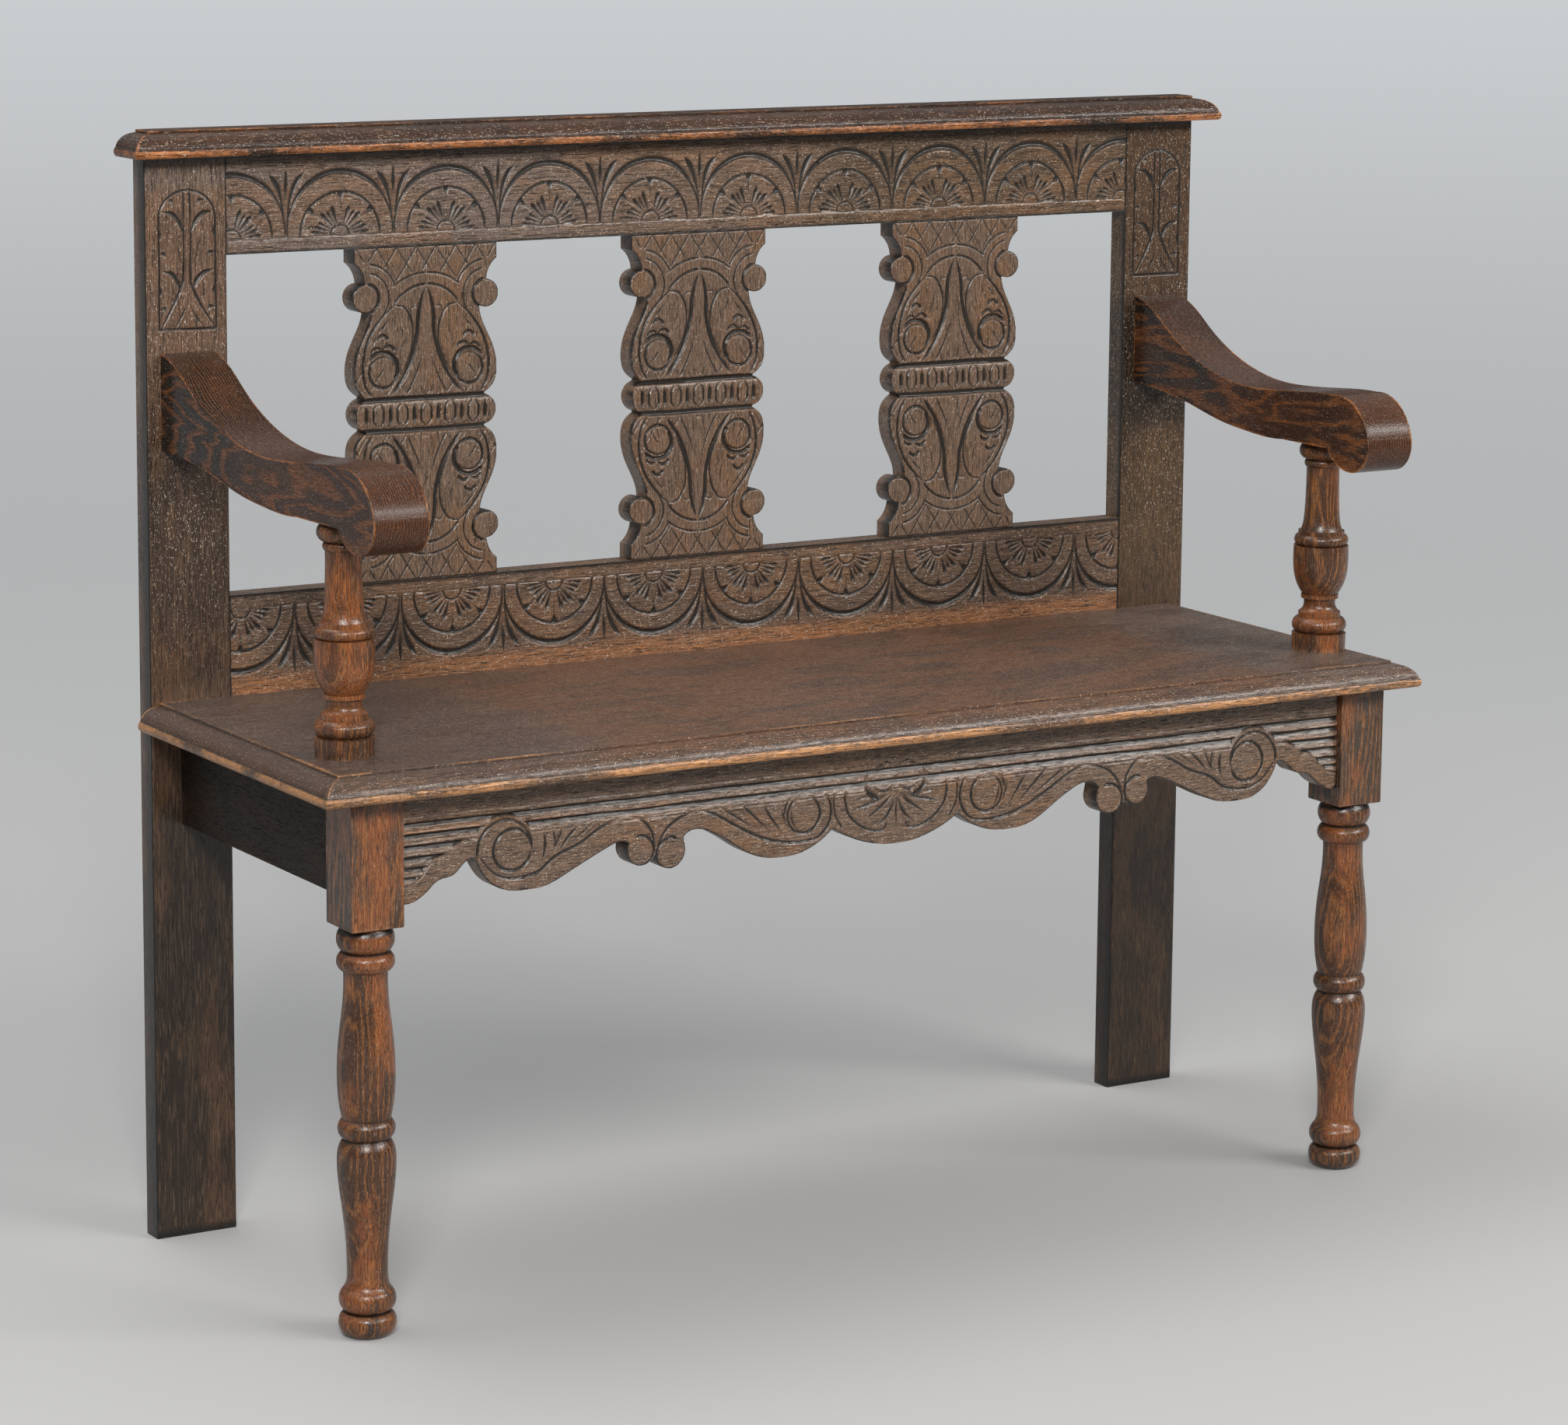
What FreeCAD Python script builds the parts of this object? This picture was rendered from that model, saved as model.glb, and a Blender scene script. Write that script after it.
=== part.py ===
import FreeCAD, Part
import os

os.makedirs("parts", exist_ok=True)

# A carved hall bench: a panelled back on two full-height boards, an open
# back of three splats, a moulded cap and seat, scrolled arms on turned
# supports, and turned front legs under a carved apron. Millimetres, +Z up,
# +Y to the back, the origin on the floor under the middle of the bench.

DRIVING = {
    # the back
    "back_length": 1050,
    "board_thick": 22,
    "post_width": 73,
    "back_rise": 453,
    "top_rail_tall": 83,
    "lower_rail_rise": 85,
    "splat_width": 138,
    "splat_thick": 20.5,
    # the cap and the seat
    "cap_thick": 21.5,
    "cap_end_overhang": 17,
    "cap_front_overhang": 22.5,
    "seat_height": 461.5,
    "seat_thick": 22,
    "seat_depth": 356,
    "seat_left_overhang": 12,
    "seat_right_overhang": 4,
    "mould_run": 19.5,
    "mould_step": 2.2,
    # the underframe
    "leg_block": 46,
    "leg_block_tall": 105.5,
    "leg_turned_radius": 23.7,
    "leg_end_inset": 20,
    "leg_front_inset": 22,
    "apron_thick": 20,
    "apron_drop": 89,
    "apron_setback": 5,
    "side_rail_thick": 20,
    "side_rail_tall": 83,
    "side_rail_setback": 6.5,
    # the arms and their supports
    "arm_width": 48,
    "arm_nose_overhang": 3,
    "left_arm_lean": 16,
    "right_arm_lean": 5,
    "arm_rise": 104.5,
    "support_tall": 187,
    "support_radius": 24.5,
    "support_spigot_radius": 11,
    "support_spigot_long": 16,
    "support_tip_radius": 8,
    "support_tip_long": 20,
    "left_support_inset": 11,
    "left_support_forward": 8,
    # joints, glue blocks and fixings
    "tenon_thick": 8,
    "tenon_shoulder": 10,
    "post_tenon_long": 32,
    "leg_tenon_long": 20,
    "stub_tenon_long": 12,
    "splat_tenon_width": 96,
    "joint_play": 0.15,
    "glue_block": 32,
    "dowel_radius": 4,
    "dowel_in_cap": 12,
    "dowel_in_rail": 20,
    "screw_radius": 2.1,
    "screw_head_radius": 4.1,
    "screw_head_deep": 2.5,
    "arm_screw_long": 60,
    "seat_screw_long": 45,
    "cut_overrun": 1,
}

doc = FreeCAD.newDocument("hall_bench")
sheet = doc.addObject("Spreadsheet::Sheet", "sizes")
for row, (alias, number) in enumerate(DRIVING.items(), start=1):
    sheet.set(f"A{row}", alias)
    sheet.set(f"B{row}", str(number))
    sheet.setAlias(f"B{row}", alias)
doc.recompute()


# A length from the sheet, or a sum of such lengths: its expression and its value.
class Size:
    def __init__(self, text, value):
        self.text = text
        self.value = value

    def combined(self, sign, other, value):
        other_text = other.text if isinstance(other, Size) else str(other)
        return Size(f"({self.text} {sign} {other_text})", value)

    def __add__(self, other):
        return self.combined("+", other, self.value + float(other))

    def __sub__(self, other):
        return self.combined("-", other, self.value - float(other))

    def __mul__(self, other):
        return self.combined("*", other, self.value * float(other))

    def __truediv__(self, other):
        return self.combined("/", other, self.value / float(other))

    def __neg__(self):
        return Size(f"(-1 * {self.text})", -self.value)

    def __float__(self):
        return self.value


def size(alias):
    return Size(f"sizes.{alias}", float(sheet.get(alias)))


NONE = Size("0", 0.0)
FULL_TURN = 360
CUBIC_MM_IN_CM = 1000
# Ends of an outline that are nearer than this share of the joints' play are one point.
SAME_POINT_SHARE = 0.001

board = size("board_thick")
play = size("joint_play")
overrun = size("cut_overrun")

# Heights above the floor.
seat_top = size("seat_height")
seat_under = seat_top - size("seat_thick")
cap_under = seat_top + size("back_rise")
top_rail_under = cap_under - size("top_rail_tall")
lower_rail_top = seat_top + size("lower_rail_rise")
block_under = seat_under - size("leg_block_tall")
side_rail_under = seat_under - size("side_rail_tall")
arm_under = seat_top + size("support_tall")
arm_top = arm_under + size("arm_rise")

# Distances from the middle of the length.
back_end = size("back_length") / 2
post_inner = back_end - size("post_width")
post_middle = back_end - size("post_width") / 2
seat_ends = (-back_end - size("seat_left_overhang"), back_end + size("seat_right_overhang"))
cap_end = back_end + size("cap_end_overhang")
leg_outer = back_end - size("leg_end_inset")
leg_inner = leg_outer - size("leg_block")
leg_middle = leg_outer - size("leg_block") / 2
side_rail_outer = leg_outer - size("side_rail_setback")
side_rail_inner = side_rail_outer - size("side_rail_thick")

# Places from front to back: the origin is midway from the arms' noses to the wall side.
arm_reach = size("seat_depth") + size("arm_nose_overhang")
back_y = (arm_reach + board) / 2
face_y = back_y - board
seat_front = face_y - size("seat_depth")
leg_front = seat_front + size("leg_front_inset")
leg_back = leg_front + size("leg_block")
leg_centre_y = leg_front + size("leg_block") / 2
apron_front = leg_front + size("apron_setback")
apron_back = apron_front + size("apron_thick")
splat_front = back_y - size("splat_thick")

SPLAT_PITCH_SHARE = 0.2954
SUPPORT_REACH_SHARE = 0.7214
# The left support was set a little further in and further forward than the right one.
support_places = {
    "left": (post_middle - size("left_support_inset"),
             face_y - arm_reach * SUPPORT_REACH_SHARE - size("left_support_forward")),
    "right": (post_middle, face_y - arm_reach * SUPPORT_REACH_SHARE),
}
splat_pitch = (post_inner * 2) * SPLAT_PITCH_SHARE

SIDES = {"left": -1, "right": 1}
pieces = []


# Two distances from the middle, as low and high X on one side of the bench.
def across(side, near, far):
    return (near, far) if side > 0 else (-far, -near)


def box(name, low, high):
    solid = doc.addObject("Part::Box", name)
    for axis, edge, start, end in zip("xyz", ("Length", "Width", "Height"), low, high):
        solid.setExpression(f"Placement.Base.{axis}", start.text)
        solid.setExpression(edge, (end - start).text)
    return solid


# A tenon and the mortise that takes it, which is larger all round by the play.
def tenon_and_mortise(name, low, high):
    tenon = box(f"{name}_tenon", low, high)
    mortise = box(f"{name}_mortise", [v - play for v in low], [v + play for v in high])
    return tenon, mortise


def cylinder(name, radius, x, y, z, height):
    solid = doc.addObject("Part::Cylinder", name)
    solid.setExpression("Radius", radius.text)
    solid.setExpression("Height", height.text)
    for axis, place in zip("xyz", (x, y, z)):
        solid.setExpression(f"Placement.Base.{axis}", place.text)
    return solid


def joined(name, solids):
    if len(solids) == 1:
        return solids[0]
    whole = doc.addObject("Part::MultiFuse", name)
    whole.Shapes = solids
    whole.Refine = True
    return whole


# One named piece of the bench: what it is made of, less what is cut from it.
def piece(label, solids, cuts=()):
    whole = joined(f"{label}_whole", solids)
    if cuts:
        work = doc.addObject("Part::Cut", f"{label}_cut")
        work.Base = whole
        work.Tool = joined(f"{label}_cuts", list(cuts))
        whole = work
    whole.Label = label
    pieces.append(whole)
    return whole


# An outline as runs of points: two points are a line, three an arc, more a curve.
def wire(runs, place):
    edges = []
    for run in runs:
        points = [place(*point) for point in run]
        if len(points) == 2:
            edges.append(Part.LineSegment(*points).toShape())
        elif len(points) == 3:
            edges.append(Part.Arc(*points).toShape())
        else:
            curve = Part.BSplineCurve()
            curve.interpolate(points)
            edges.append(curve.toShape())
    first, last = place(*runs[0][0]), place(*runs[-1][-1])
    if not first.isEqual(last, float(play) * SAME_POINT_SHARE):
        edges.append(Part.LineSegment(last, first).toShape())
    return Part.Wire(edges)


def feature(name, shape):
    solid = doc.addObject("Part::Feature", name)
    solid.Shape = shape
    solid.Placement = FreeCAD.Placement()
    return solid


# The runs of an outline seen in a mirror across its first or second direction.
def mirrored(runs, flip_first):
    signs = (-1, 1) if flip_first else (1, -1)
    return [[(u * signs[0], v * signs[1]) for u, v in reversed(run)] for run in reversed(runs)]


# A countersunk screw, or with some extra all round, the hole that is bored for it.
def screw(name, head_point, turn, long, extra=NONE):
    head = doc.addObject("Part::Cone", f"{name}_head")
    head.setExpression("Radius1", (size("screw_head_radius") + extra).text)
    head.setExpression("Radius2", (size("screw_radius") + extra).text)
    head.setExpression("Height", size("screw_head_deep").text)
    shank = doc.addObject("Part::Cylinder", f"{name}_shank")
    shank.setExpression("Radius", (size("screw_radius") + extra).text)
    shank.setExpression("Height", (long + extra).text)
    for solid in (head, shank):
        solid.Placement = FreeCAD.Placement(FreeCAD.Vector(), turn)
        for axis, place in zip("xyz", head_point):
            solid.setExpression(f"Placement.Base.{axis}", place.text)
    return joined(name, [head, shank])


UPWARD = FreeCAD.Vector(0, 0, 1)
UP = FreeCAD.Rotation(UPWARD, UPWARD)
FORWARD = FreeCAD.Rotation(UPWARD, FreeCAD.Vector(0, -1, 0))

# The moulding's rounded nose and the slope above it, as shares of the moulding's
# run, in from the nose, and of its height, up from the underside.
MOULD_SHARES = [
    [(0.10, 0), (0, 0.19), (0.09, 0.40)],
    [(0.09, 0.40), (0.12, 0.50), (0.21, 0.65), (0.38, 0.81), (0.62, 0.93), (0.84, 0.975), (1, 1)],
]


# A board with a moulded front and moulded ends that meet in mitres, cut from
# a long prism with the front's section and a deep one with the ends' section.
def moulded_board(name, ends, front, back, under, thick):
    run = float(size("mould_run"))
    slope_tall = float(thick - size("mould_step"))
    left, right = (float(end) for end in ends)
    low, y_front, deep = float(under), float(front), float(back - front)
    far = float(overrun)

    def section(place, reach):
        top_share, reach_share = float(thick) / slope_tall, reach / run
        corners = [(1, 1), (1, top_share), (reach_share, top_share), (reach_share, 0)]
        lines = [[a, b] for a, b in zip(corners, corners[1:])]
        return Part.Face(wire(MOULD_SHARES + lines, place))

    def at_front(u, v):
        return FreeCAD.Vector(left - far, y_front + u * run, low + v * slope_tall)

    long_prism = section(at_front, deep).extrude(FreeCAD.Vector(right - left + 2 * far, 0, 0))
    halves = []
    for end, inward in ((left, 1), (right, -1)):
        def at_end(u, v):
            return FreeCAD.Vector(end + inward * u * run, y_front - far, low + v * slope_tall)

        halves.append(section(at_end, abs(end)).extrude(FreeCAD.Vector(0, deep + 2 * far, 0)))
    deep_prism = halves[0].fuse(halves[1]).removeSplitter()
    return feature(name, long_prism.common(deep_prism).removeSplitter())


# The outer quarter of a splat, from its waist band up to its square end, as
# shares of half its width and half its height: the rounded band, the bulging
# body, the scroll ear, the hollow shoulder and the end.
SPLAT_SHARES = [
    [(0.965, 0), (0.907, 0.067), (0.819, 0.092)],
    [(0.819, 0.092), (0.810, 0.102)],
    [(0.810, 0.102), (0.841, 0.112), (0.930, 0.154), (0.974, 0.225), (0.971, 0.295),
     (0.933, 0.372), (0.848, 0.463), (0.768, 0.547), (0.740, 0.626)],
    [(0.740, 0.626), (0.999, 0.698), (0.833, 0.782)],
    [(0.833, 0.782), (0.876, 0.853), (0.978, 0.908)],
    [(0.978, 0.908), (0.978, 1)],
]


def splat_board(name, middle):
    half_width = float(size("splat_width") / 2)
    half_tall = float((top_rail_under - lower_rail_top) / 2)
    centre_z = float((top_rail_under + lower_rail_top) / 2)

    def place(u, v):
        return FreeCAD.Vector(float(middle) + u * half_width, float(splat_front), centre_z + v * half_tall)

    right_edge = mirrored(SPLAT_SHARES, False) + SPLAT_SHARES
    end_share = SPLAT_SHARES[-1][-1][0]
    runs = right_edge + [[(end_share, 1), (-end_share, 1)]] + mirrored(right_edge, True)
    face = Part.Face(wire(runs, place))
    return feature(name, face.extrude(FreeCAD.Vector(0, float(size("splat_thick")), 0)))


# Half of the apron's lower edge from the leg to the middle, as shares of half
# its length and of its drop: the reeded end's ogee, the large scroll and its
# ramp, two pendants, the arch and second scroll, and half the round centre.
APRON_SHARES = [
    [(1, 1), (0.974, 0.978), (0.950, 0.904), (0.928, 0.815), (0.900, 0.783), (0.880, 0.691),
     (0.858, 0.652)],
    [(0.858, 0.652), (0.846, 0.787), (0.824, 0.916), (0.789, 0.990), (0.754, 1), (0.719, 0.980),
     (0.680, 0.902), (0.634, 0.788), (0.599, 0.708), (0.571, 0.665), (0.555, 0.691)],
    [(0.555, 0.691), (0.531, 0.911), (0.502, 0.826)],
    [(0.502, 0.826), (0.467, 0.966), (0.442, 0.753)],
    [(0.442, 0.753), (0.444, 0.691)],
    [(0.444, 0.691), (0.427, 0.637), (0.407, 0.639), (0.383, 0.691), (0.349, 0.792),
     (0.318, 0.897), (0.288, 0.964), (0.251, 0.994), (0.218, 0.988), (0.187, 0.952),
     (0.159, 0.882), (0.134, 0.783)],
]
APRON_MIDDLE_SHARES = [[(0.134, 0.783), (0, 0.997), (-0.134, 0.783)]]


def apron_board(name):
    half_length, drop = float(leg_inner), float(size("apron_drop"))

    def place(u, v):
        return FreeCAD.Vector(u * half_length, float(apron_front), float(seat_under) - v * drop)

    runs = [[(1, 0), (1, 1)]] + APRON_SHARES + APRON_MIDDLE_SHARES
    runs += mirrored(APRON_SHARES, True) + [[(-1, 1), (-1, 0)]]
    face = Part.Face(wire(runs, place))
    return feature(name, face.extrude(FreeCAD.Vector(0, float(size("apron_thick")), 0)))


# The arm's side outline, as shares of its reach from the post and of its rise
# above its underside: the falling top, the rolled nose in three arcs, the flat
# seat of the support and the rising underside.
ARM_SHARES = [
    [(0, 1), (0.042, 0.962), (0.084, 0.895), (0.153, 0.742), (0.223, 0.612), (0.306, 0.502),
     (0.390, 0.431), (0.474, 0.397), (0.557, 0.397), (0.682, 0.426), (0.794, 0.457), (0.858, 0.462)],
    [(0.858, 0.462), (0.964, 0.340), (0.9987, 0.129)],
    [(0.9987, 0.129), (0.978, -0.100), (0.922, -0.163)],
    [(0.922, -0.163), (0.869, -0.110), (0.836, 0)],
    [(0.836, 0), (0.650, 0)],
    [(0.650, 0), (0.590, -0.010), (0.515, 0.003), (0.379, 0.053), (0.242, 0.148), (0.139, 0.201),
     (0, 0.234)],
]
ARM_BACK_BOTTOM_SHARE = ARM_SHARES[-1][-1][1]


# The arm runs inward by its lean between the post and the nose.
def arm_board(name, low_x, lean):
    reach, rise = float(arm_reach), float(size("arm_rise"))

    def place(u, v):
        x = float(low_x) + u * float(lean)
        return FreeCAD.Vector(x, float(face_y) - u * reach, float(arm_under) + v * rise)

    face = Part.Face(wire(ARM_SHARES, place))
    return feature(name, face.extrude(FreeCAD.Vector(float(size("arm_width")), 0, 0)))


# Turned outlines: shares of the turned height and of the greatest radius.
LEG_SHARES = [
    [(0, 0), (0, 0.66)],
    [(0, 0.66), (0.007, 0.830), (0.034, 0.985), (0.053, 0.900), (0.060, 0.750)],
    [(0.060, 0.750), (0.094, 0.970), (0.118, 0.800)],
    [(0.118, 0.800), (0.132, 0.722), (0.158, 0.692), (0.200, 0.700), (0.278, 0.785),
     (0.380, 0.960), (0.428, 1), (0.461, 0.955), (0.484, 0.800)],
    [(0.484, 0.800), (0.512, 0.970), (0.533, 0.822)],
    [(0.533, 0.822), (0.563, 0.907), (0.599, 0.962), (0.641, 0.980), (0.695, 0.958),
     (0.755, 0.878), (0.823, 0.768), (0.868, 0.743), (0.895, 0.750)],
    [(0.895, 0.750), (0.895, 0.860)],
    [(0.895, 0.860), (0.918, 0.980), (0.939, 0.793)],
    [(0.939, 0.793), (0.967, 0.980), (0.997, 0.835)],
    [(0.997, 0.835), (1, 0.835)],
    [(1, 0.835), (1, 0)],
]
SUPPORT_SHARES = [
    [(0, 0), (0, 0.965)],
    [(0, 0.965), (0.082, 0.980)],
    [(0.082, 0.980), (0.087, 0.837)],
    [(0.087, 0.837), (0.128, 0.984), (0.160, 0.800)],
    [(0.160, 0.800), (0.160, 0.771)],
    [(0.160, 0.771), (0.184, 0.760)],
    [(0.184, 0.760), (0.200, 0.625), (0.228, 0.567), (0.248, 0.588)],
    [(0.248, 0.588), (0.249, 0.678)],
    [(0.249, 0.678), (0.267, 0.678)],
    [(0.267, 0.678), (0.268, 0.637)],
    [(0.268, 0.637), (0.305, 0.808), (0.345, 0.922), (0.401, 0.988), (0.455, 1), (0.503, 0.988)],
    [(0.503, 0.988), (0.504, 0.865)],
    [(0.504, 0.865), (0.532, 0.980), (0.556, 0.857)],
    [(0.556, 0.857), (0.556, 0.841)],
    [(0.556, 0.841), (0.574, 0.833)],
    [(0.574, 0.833), (0.575, 0.759)],
    [(0.575, 0.759), (0.599, 0.694), (0.642, 0.645), (0.717, 0.612), (0.802, 0.596), (0.877, 0.596)],
    [(0.877, 0.596), (0.896, 0.678), (0.914, 0.612)],
    [(0.914, 0.612), (0.955, 0.870), (0.995, 0.694)],
    [(0.995, 0.694), (1, 0.694)],
    [(1, 0.694), (1, 0)],
]


def turned(name, shares, x, y, foot, tall, radius):
    axis_foot = FreeCAD.Vector(float(x), float(y), float(foot))

    def place(height_share, radius_share):
        return axis_foot + FreeCAD.Vector(radius_share * float(radius), 0, height_share * float(tall))

    face = Part.Face(wire(shares, place))
    return feature(name, face.revolve(axis_foot, UPWARD, FULL_TURN))


# Rails tenoned into the posts, and their mortises by side.
tenon_front = back_y - board / 2 - size("tenon_thick") / 2
tenon_back = tenon_front + size("tenon_thick")
post_mortises = {side: [] for side in SIDES.values()}


def back_rail(name, under, top):
    tenons = []
    for side_name, side in SIDES.items():
        low_x, high_x = across(side, post_inner, post_inner + size("post_tenon_long"))
        low = (low_x, tenon_front, under + size("tenon_shoulder"))
        high = (high_x, tenon_back, top - size("tenon_shoulder"))
        tenon, mortise = tenon_and_mortise(f"{name}_{side_name}", low, high)
        tenons.append(tenon)
        post_mortises[side].append(mortise)
    return [box(f"{name}_board", (-post_inner, face_y, under), (post_inner, back_y, top)), *tenons]


top_rail = back_rail("top_rail", top_rail_under, cap_under)
bottom_rail = back_rail("bottom_rail", seat_under, lower_rail_top)
seat_rail = back_rail("back_seat_rail", side_rail_under, seat_under)

# Three splats, stub-tenoned into the rails above and below.
top_rail_cuts, bottom_rail_cuts = [], []
splat_tenon_half = size("splat_tenon_width") / 2
splat_tenon_front = splat_front + size("splat_thick") / 2 - size("tenon_thick") / 2
for name, steps in {"left": -1, "middle": 0, "right": 1}.items():
    middle = splat_pitch * steps
    low = (middle - splat_tenon_half, splat_tenon_front, lower_rail_top - size("stub_tenon_long"))
    high = (middle + splat_tenon_half, splat_tenon_front + size("tenon_thick"), lower_rail_top)
    foot_tenon, foot_mortise = tenon_and_mortise(f"splat_{name}_foot", low, high)
    low = (low[0], low[1], top_rail_under)
    high = (high[0], high[1], top_rail_under + size("stub_tenon_long"))
    head_tenon, head_mortise = tenon_and_mortise(f"splat_{name}_head", low, high)
    bottom_rail_cuts.append(foot_mortise)
    top_rail_cuts.append(head_mortise)
    piece(f"splat_{name}", [splat_board(f"splat_{name}_board", middle), foot_tenon, head_tenon])

# Dowels between the cap and the top rail.
DOWEL_SHARES = (-0.84, -0.28, 0.28, 0.84)
dowels, dowel_holes = [], []
for number, share in enumerate(DOWEL_SHARES):
    x = post_inner * share
    y = back_y - board / 2
    foot = cap_under - size("dowel_in_rail")
    long = size("dowel_in_rail") + size("dowel_in_cap")
    radius = size("dowel_radius")
    dowels.append(cylinder(f"dowel_{number}", radius, x, y, foot, long))
    hole = cylinder(f"dowel_hole_{number}", radius + play, x, y, foot - play, long + play * 2)
    dowel_holes.append(hole)

piece("top_rail", top_rail, top_rail_cuts + dowel_holes)
piece("bottom_rail", bottom_rail, bottom_rail_cuts)
piece("back_seat_rail", seat_rail)
piece("cap_dowels", dowels)
cap_front = face_y - size("cap_front_overhang")
cap = moulded_board("cap_board", (-cap_end, cap_end), cap_front, back_y, cap_under, size("cap_thick"))
piece("top_cap", [cap], dowel_holes)

# The front apron, tenoned into the leg blocks.
leg_mortises = {side: [] for side in SIDES.values()}
apron = [apron_board("apron_board")]
apron_tenon_front = apron_front + size("apron_thick") / 2 - size("tenon_thick") / 2
APRON_TENON_SHARE = 0.75
for side_name, side in SIDES.items():
    low_x, high_x = across(side, leg_inner, leg_inner + size("leg_tenon_long"))
    low = (low_x, apron_tenon_front, seat_under - size("apron_drop") * APRON_TENON_SHARE)
    high = (high_x, apron_tenon_front + size("tenon_thick"), seat_under - size("tenon_shoulder"))
    tenon, mortise = tenon_and_mortise(f"apron_{side_name}", low, high)
    apron.append(tenon)
    leg_mortises[side].append(mortise)
piece("front_apron", apron)

# Side rails, tenoned into the backs of the leg blocks and the fronts of the posts.
side_tenon_near = (side_rail_inner + side_rail_outer) / 2 - size("tenon_thick") / 2
side_tenon_far = side_tenon_near + size("tenon_thick")
for side_name, side in SIDES.items():
    low_x, high_x = across(side, side_rail_inner, side_rail_outer)
    name = f"{side_name}_side_rail"
    rail = box(f"{name}_board", (low_x, leg_back, side_rail_under), (high_x, face_y, seat_under))
    low_x, high_x = across(side, side_tenon_near, side_tenon_far)
    low_z = side_rail_under + size("tenon_shoulder")
    high_z = seat_under - size("tenon_shoulder")
    front_low = (low_x, leg_back - size("leg_tenon_long"), low_z)
    front_tenon, front_mortise = tenon_and_mortise(f"{name}_front", front_low, (high_x, leg_back, high_z))
    back_high = (high_x, face_y + size("stub_tenon_long"), high_z)
    back_tenon, back_mortise = tenon_and_mortise(f"{name}_back", (low_x, face_y, low_z), back_high)
    leg_mortises[side].append(front_mortise)
    post_mortises[side].append(back_mortise)
    piece(name, [rail, front_tenon, back_tenon])

# Front legs: a square block over a turned shaft and bun foot.
for side_name, side in SIDES.items():
    name = f"{side_name}_front_leg"
    low_x, high_x = across(side, leg_inner, leg_outer)
    block = box(f"{name}_block", (low_x, leg_front, block_under), (high_x, leg_back, seat_under))
    shaft = turned(f"{name}_shaft", LEG_SHARES, leg_middle * side, leg_centre_y, NONE, block_under,
                   size("leg_turned_radius"))
    piece(name, [block, shaft], leg_mortises[side])

# Arm supports, with a round spigot into the seat and a tip into the arm.
arm_half = size("arm_width") / 2
seat_cuts, post_holes = [], {side: [] for side in SIDES.values()}
arm_screws = []
ARM_SCREW_SHARES = (0.30, 0.70)
arm_back_under = arm_under + size("arm_rise") * ARM_BACK_BOTTOM_SHARE
for side_name, side in SIDES.items():
    from_middle, support_y = support_places[side_name]
    x = from_middle * side
    name = f"{side_name}_arm_support"
    shaft = turned(f"{name}_shaft", SUPPORT_SHARES, x, support_y, seat_top, size("support_tall"),
                   size("support_radius"))
    spigot_foot = seat_top - size("support_spigot_long")
    spigot = cylinder(f"{name}_spigot", size("support_spigot_radius"), x, support_y, spigot_foot,
                      size("support_spigot_long"))
    seat_cuts.append(cylinder(f"{name}_socket", size("support_spigot_radius") + play, x, support_y,
                              spigot_foot - play, size("support_spigot_long") + play * 2))
    tip = cylinder(f"{name}_tip", size("support_tip_radius"), x, support_y, arm_under,
                   size("support_tip_long"))
    tip_hole = cylinder(f"{name}_tip_hole", size("support_tip_radius") + play, x, support_y,
                        arm_under - play, size("support_tip_long") + play * 2)
    piece(name, [shaft, spigot, tip])

    # The arm butts on the post and is screwed through it from behind.
    x = post_middle * side
    arm_cuts = [tip_hole]
    for number, share in enumerate(ARM_SCREW_SHARES):
        point = (x, back_y, arm_back_under + (arm_top - arm_back_under) * share)
        screw_name = f"{side_name}_arm_screw_{number}"
        arm_screws.append(screw(screw_name, point, FORWARD, size("arm_screw_long")))
        hole = screw(f"{screw_name}_hole", point, FORWARD, size("arm_screw_long"), play)
        arm_cuts.append(hole)
        post_holes[side].append(hole)
    lean = size(f"{side_name}_arm_lean") * -side
    piece(f"{side_name}_arm", [arm_board(f"{side_name}_arm_board", x - arm_half, lean)], arm_cuts)
piece("arm_screws", arm_screws)

# The posts, from the floor to the cap.
for side_name, side in SIDES.items():
    low_x, high_x = across(side, post_inner, back_end)
    name = f"{side_name}_post"
    board_box = box(f"{name}_board", (low_x, face_y, NONE), (high_x, back_y, cap_under))
    piece(name, [board_box], post_mortises[side] + post_holes[side])

# Glue blocks in the four corners under the seat, each with a screw up into it.
seat_screws = []
for side_name, side in SIDES.items():
    corners = {"front": (leg_inner, apron_back), "back": (side_rail_inner, face_y - size("glue_block"))}
    for end_name, (far_x, low_y) in corners.items():
        near_x = far_x - size("glue_block")
        low_x, high_x = across(side, near_x, far_x)
        name = f"{side_name}_{end_name}_glue_block"
        low_z = seat_under - size("glue_block")
        high = (high_x, low_y + size("glue_block"), seat_under)
        block = box(f"{name}_board", (low_x, low_y, low_z), high)
        point = ((low_x + high_x) / 2, low_y + size("glue_block") / 2, low_z)
        seat_screws.append(screw(f"{name}_screw", point, UP, size("seat_screw_long")))
        hole = screw(f"{name}_screw_hole", point, UP, size("seat_screw_long"), play)
        seat_cuts.append(hole)
        piece(name, [block], [hole])
piece("seat_screws", seat_screws)

seat = moulded_board("seat_plank", seat_ends, seat_front, face_y, seat_under, size("seat_thick"))
piece("seat_board", [seat], seat_cuts)

doc.recompute()
for item in doc.Objects:
    if "Invalid" in item.State or "Error" in item.State:
        raise RuntimeError(f"{item.Name} failed: {item.State}")
for whole in pieces:
    if whole.Shape.isNull() or not whole.Shape.isValid():
        raise RuntimeError(f"{whole.Label} has no valid shape")
for whole in pieces:
    whole.Shape.exportStep(f"parts/{whole.Label}.step")
    bounds = whole.Shape.BoundBox
    volume = whole.Shape.Volume / CUBIC_MM_IN_CM
    print(f"{whole.Label}: {len(whole.Shape.Solids)} solid(s), {volume:.1f} cm3, "
          f"z {bounds.ZMin:.1f} to {bounds.ZMax:.1f}")
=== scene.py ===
import math

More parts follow.
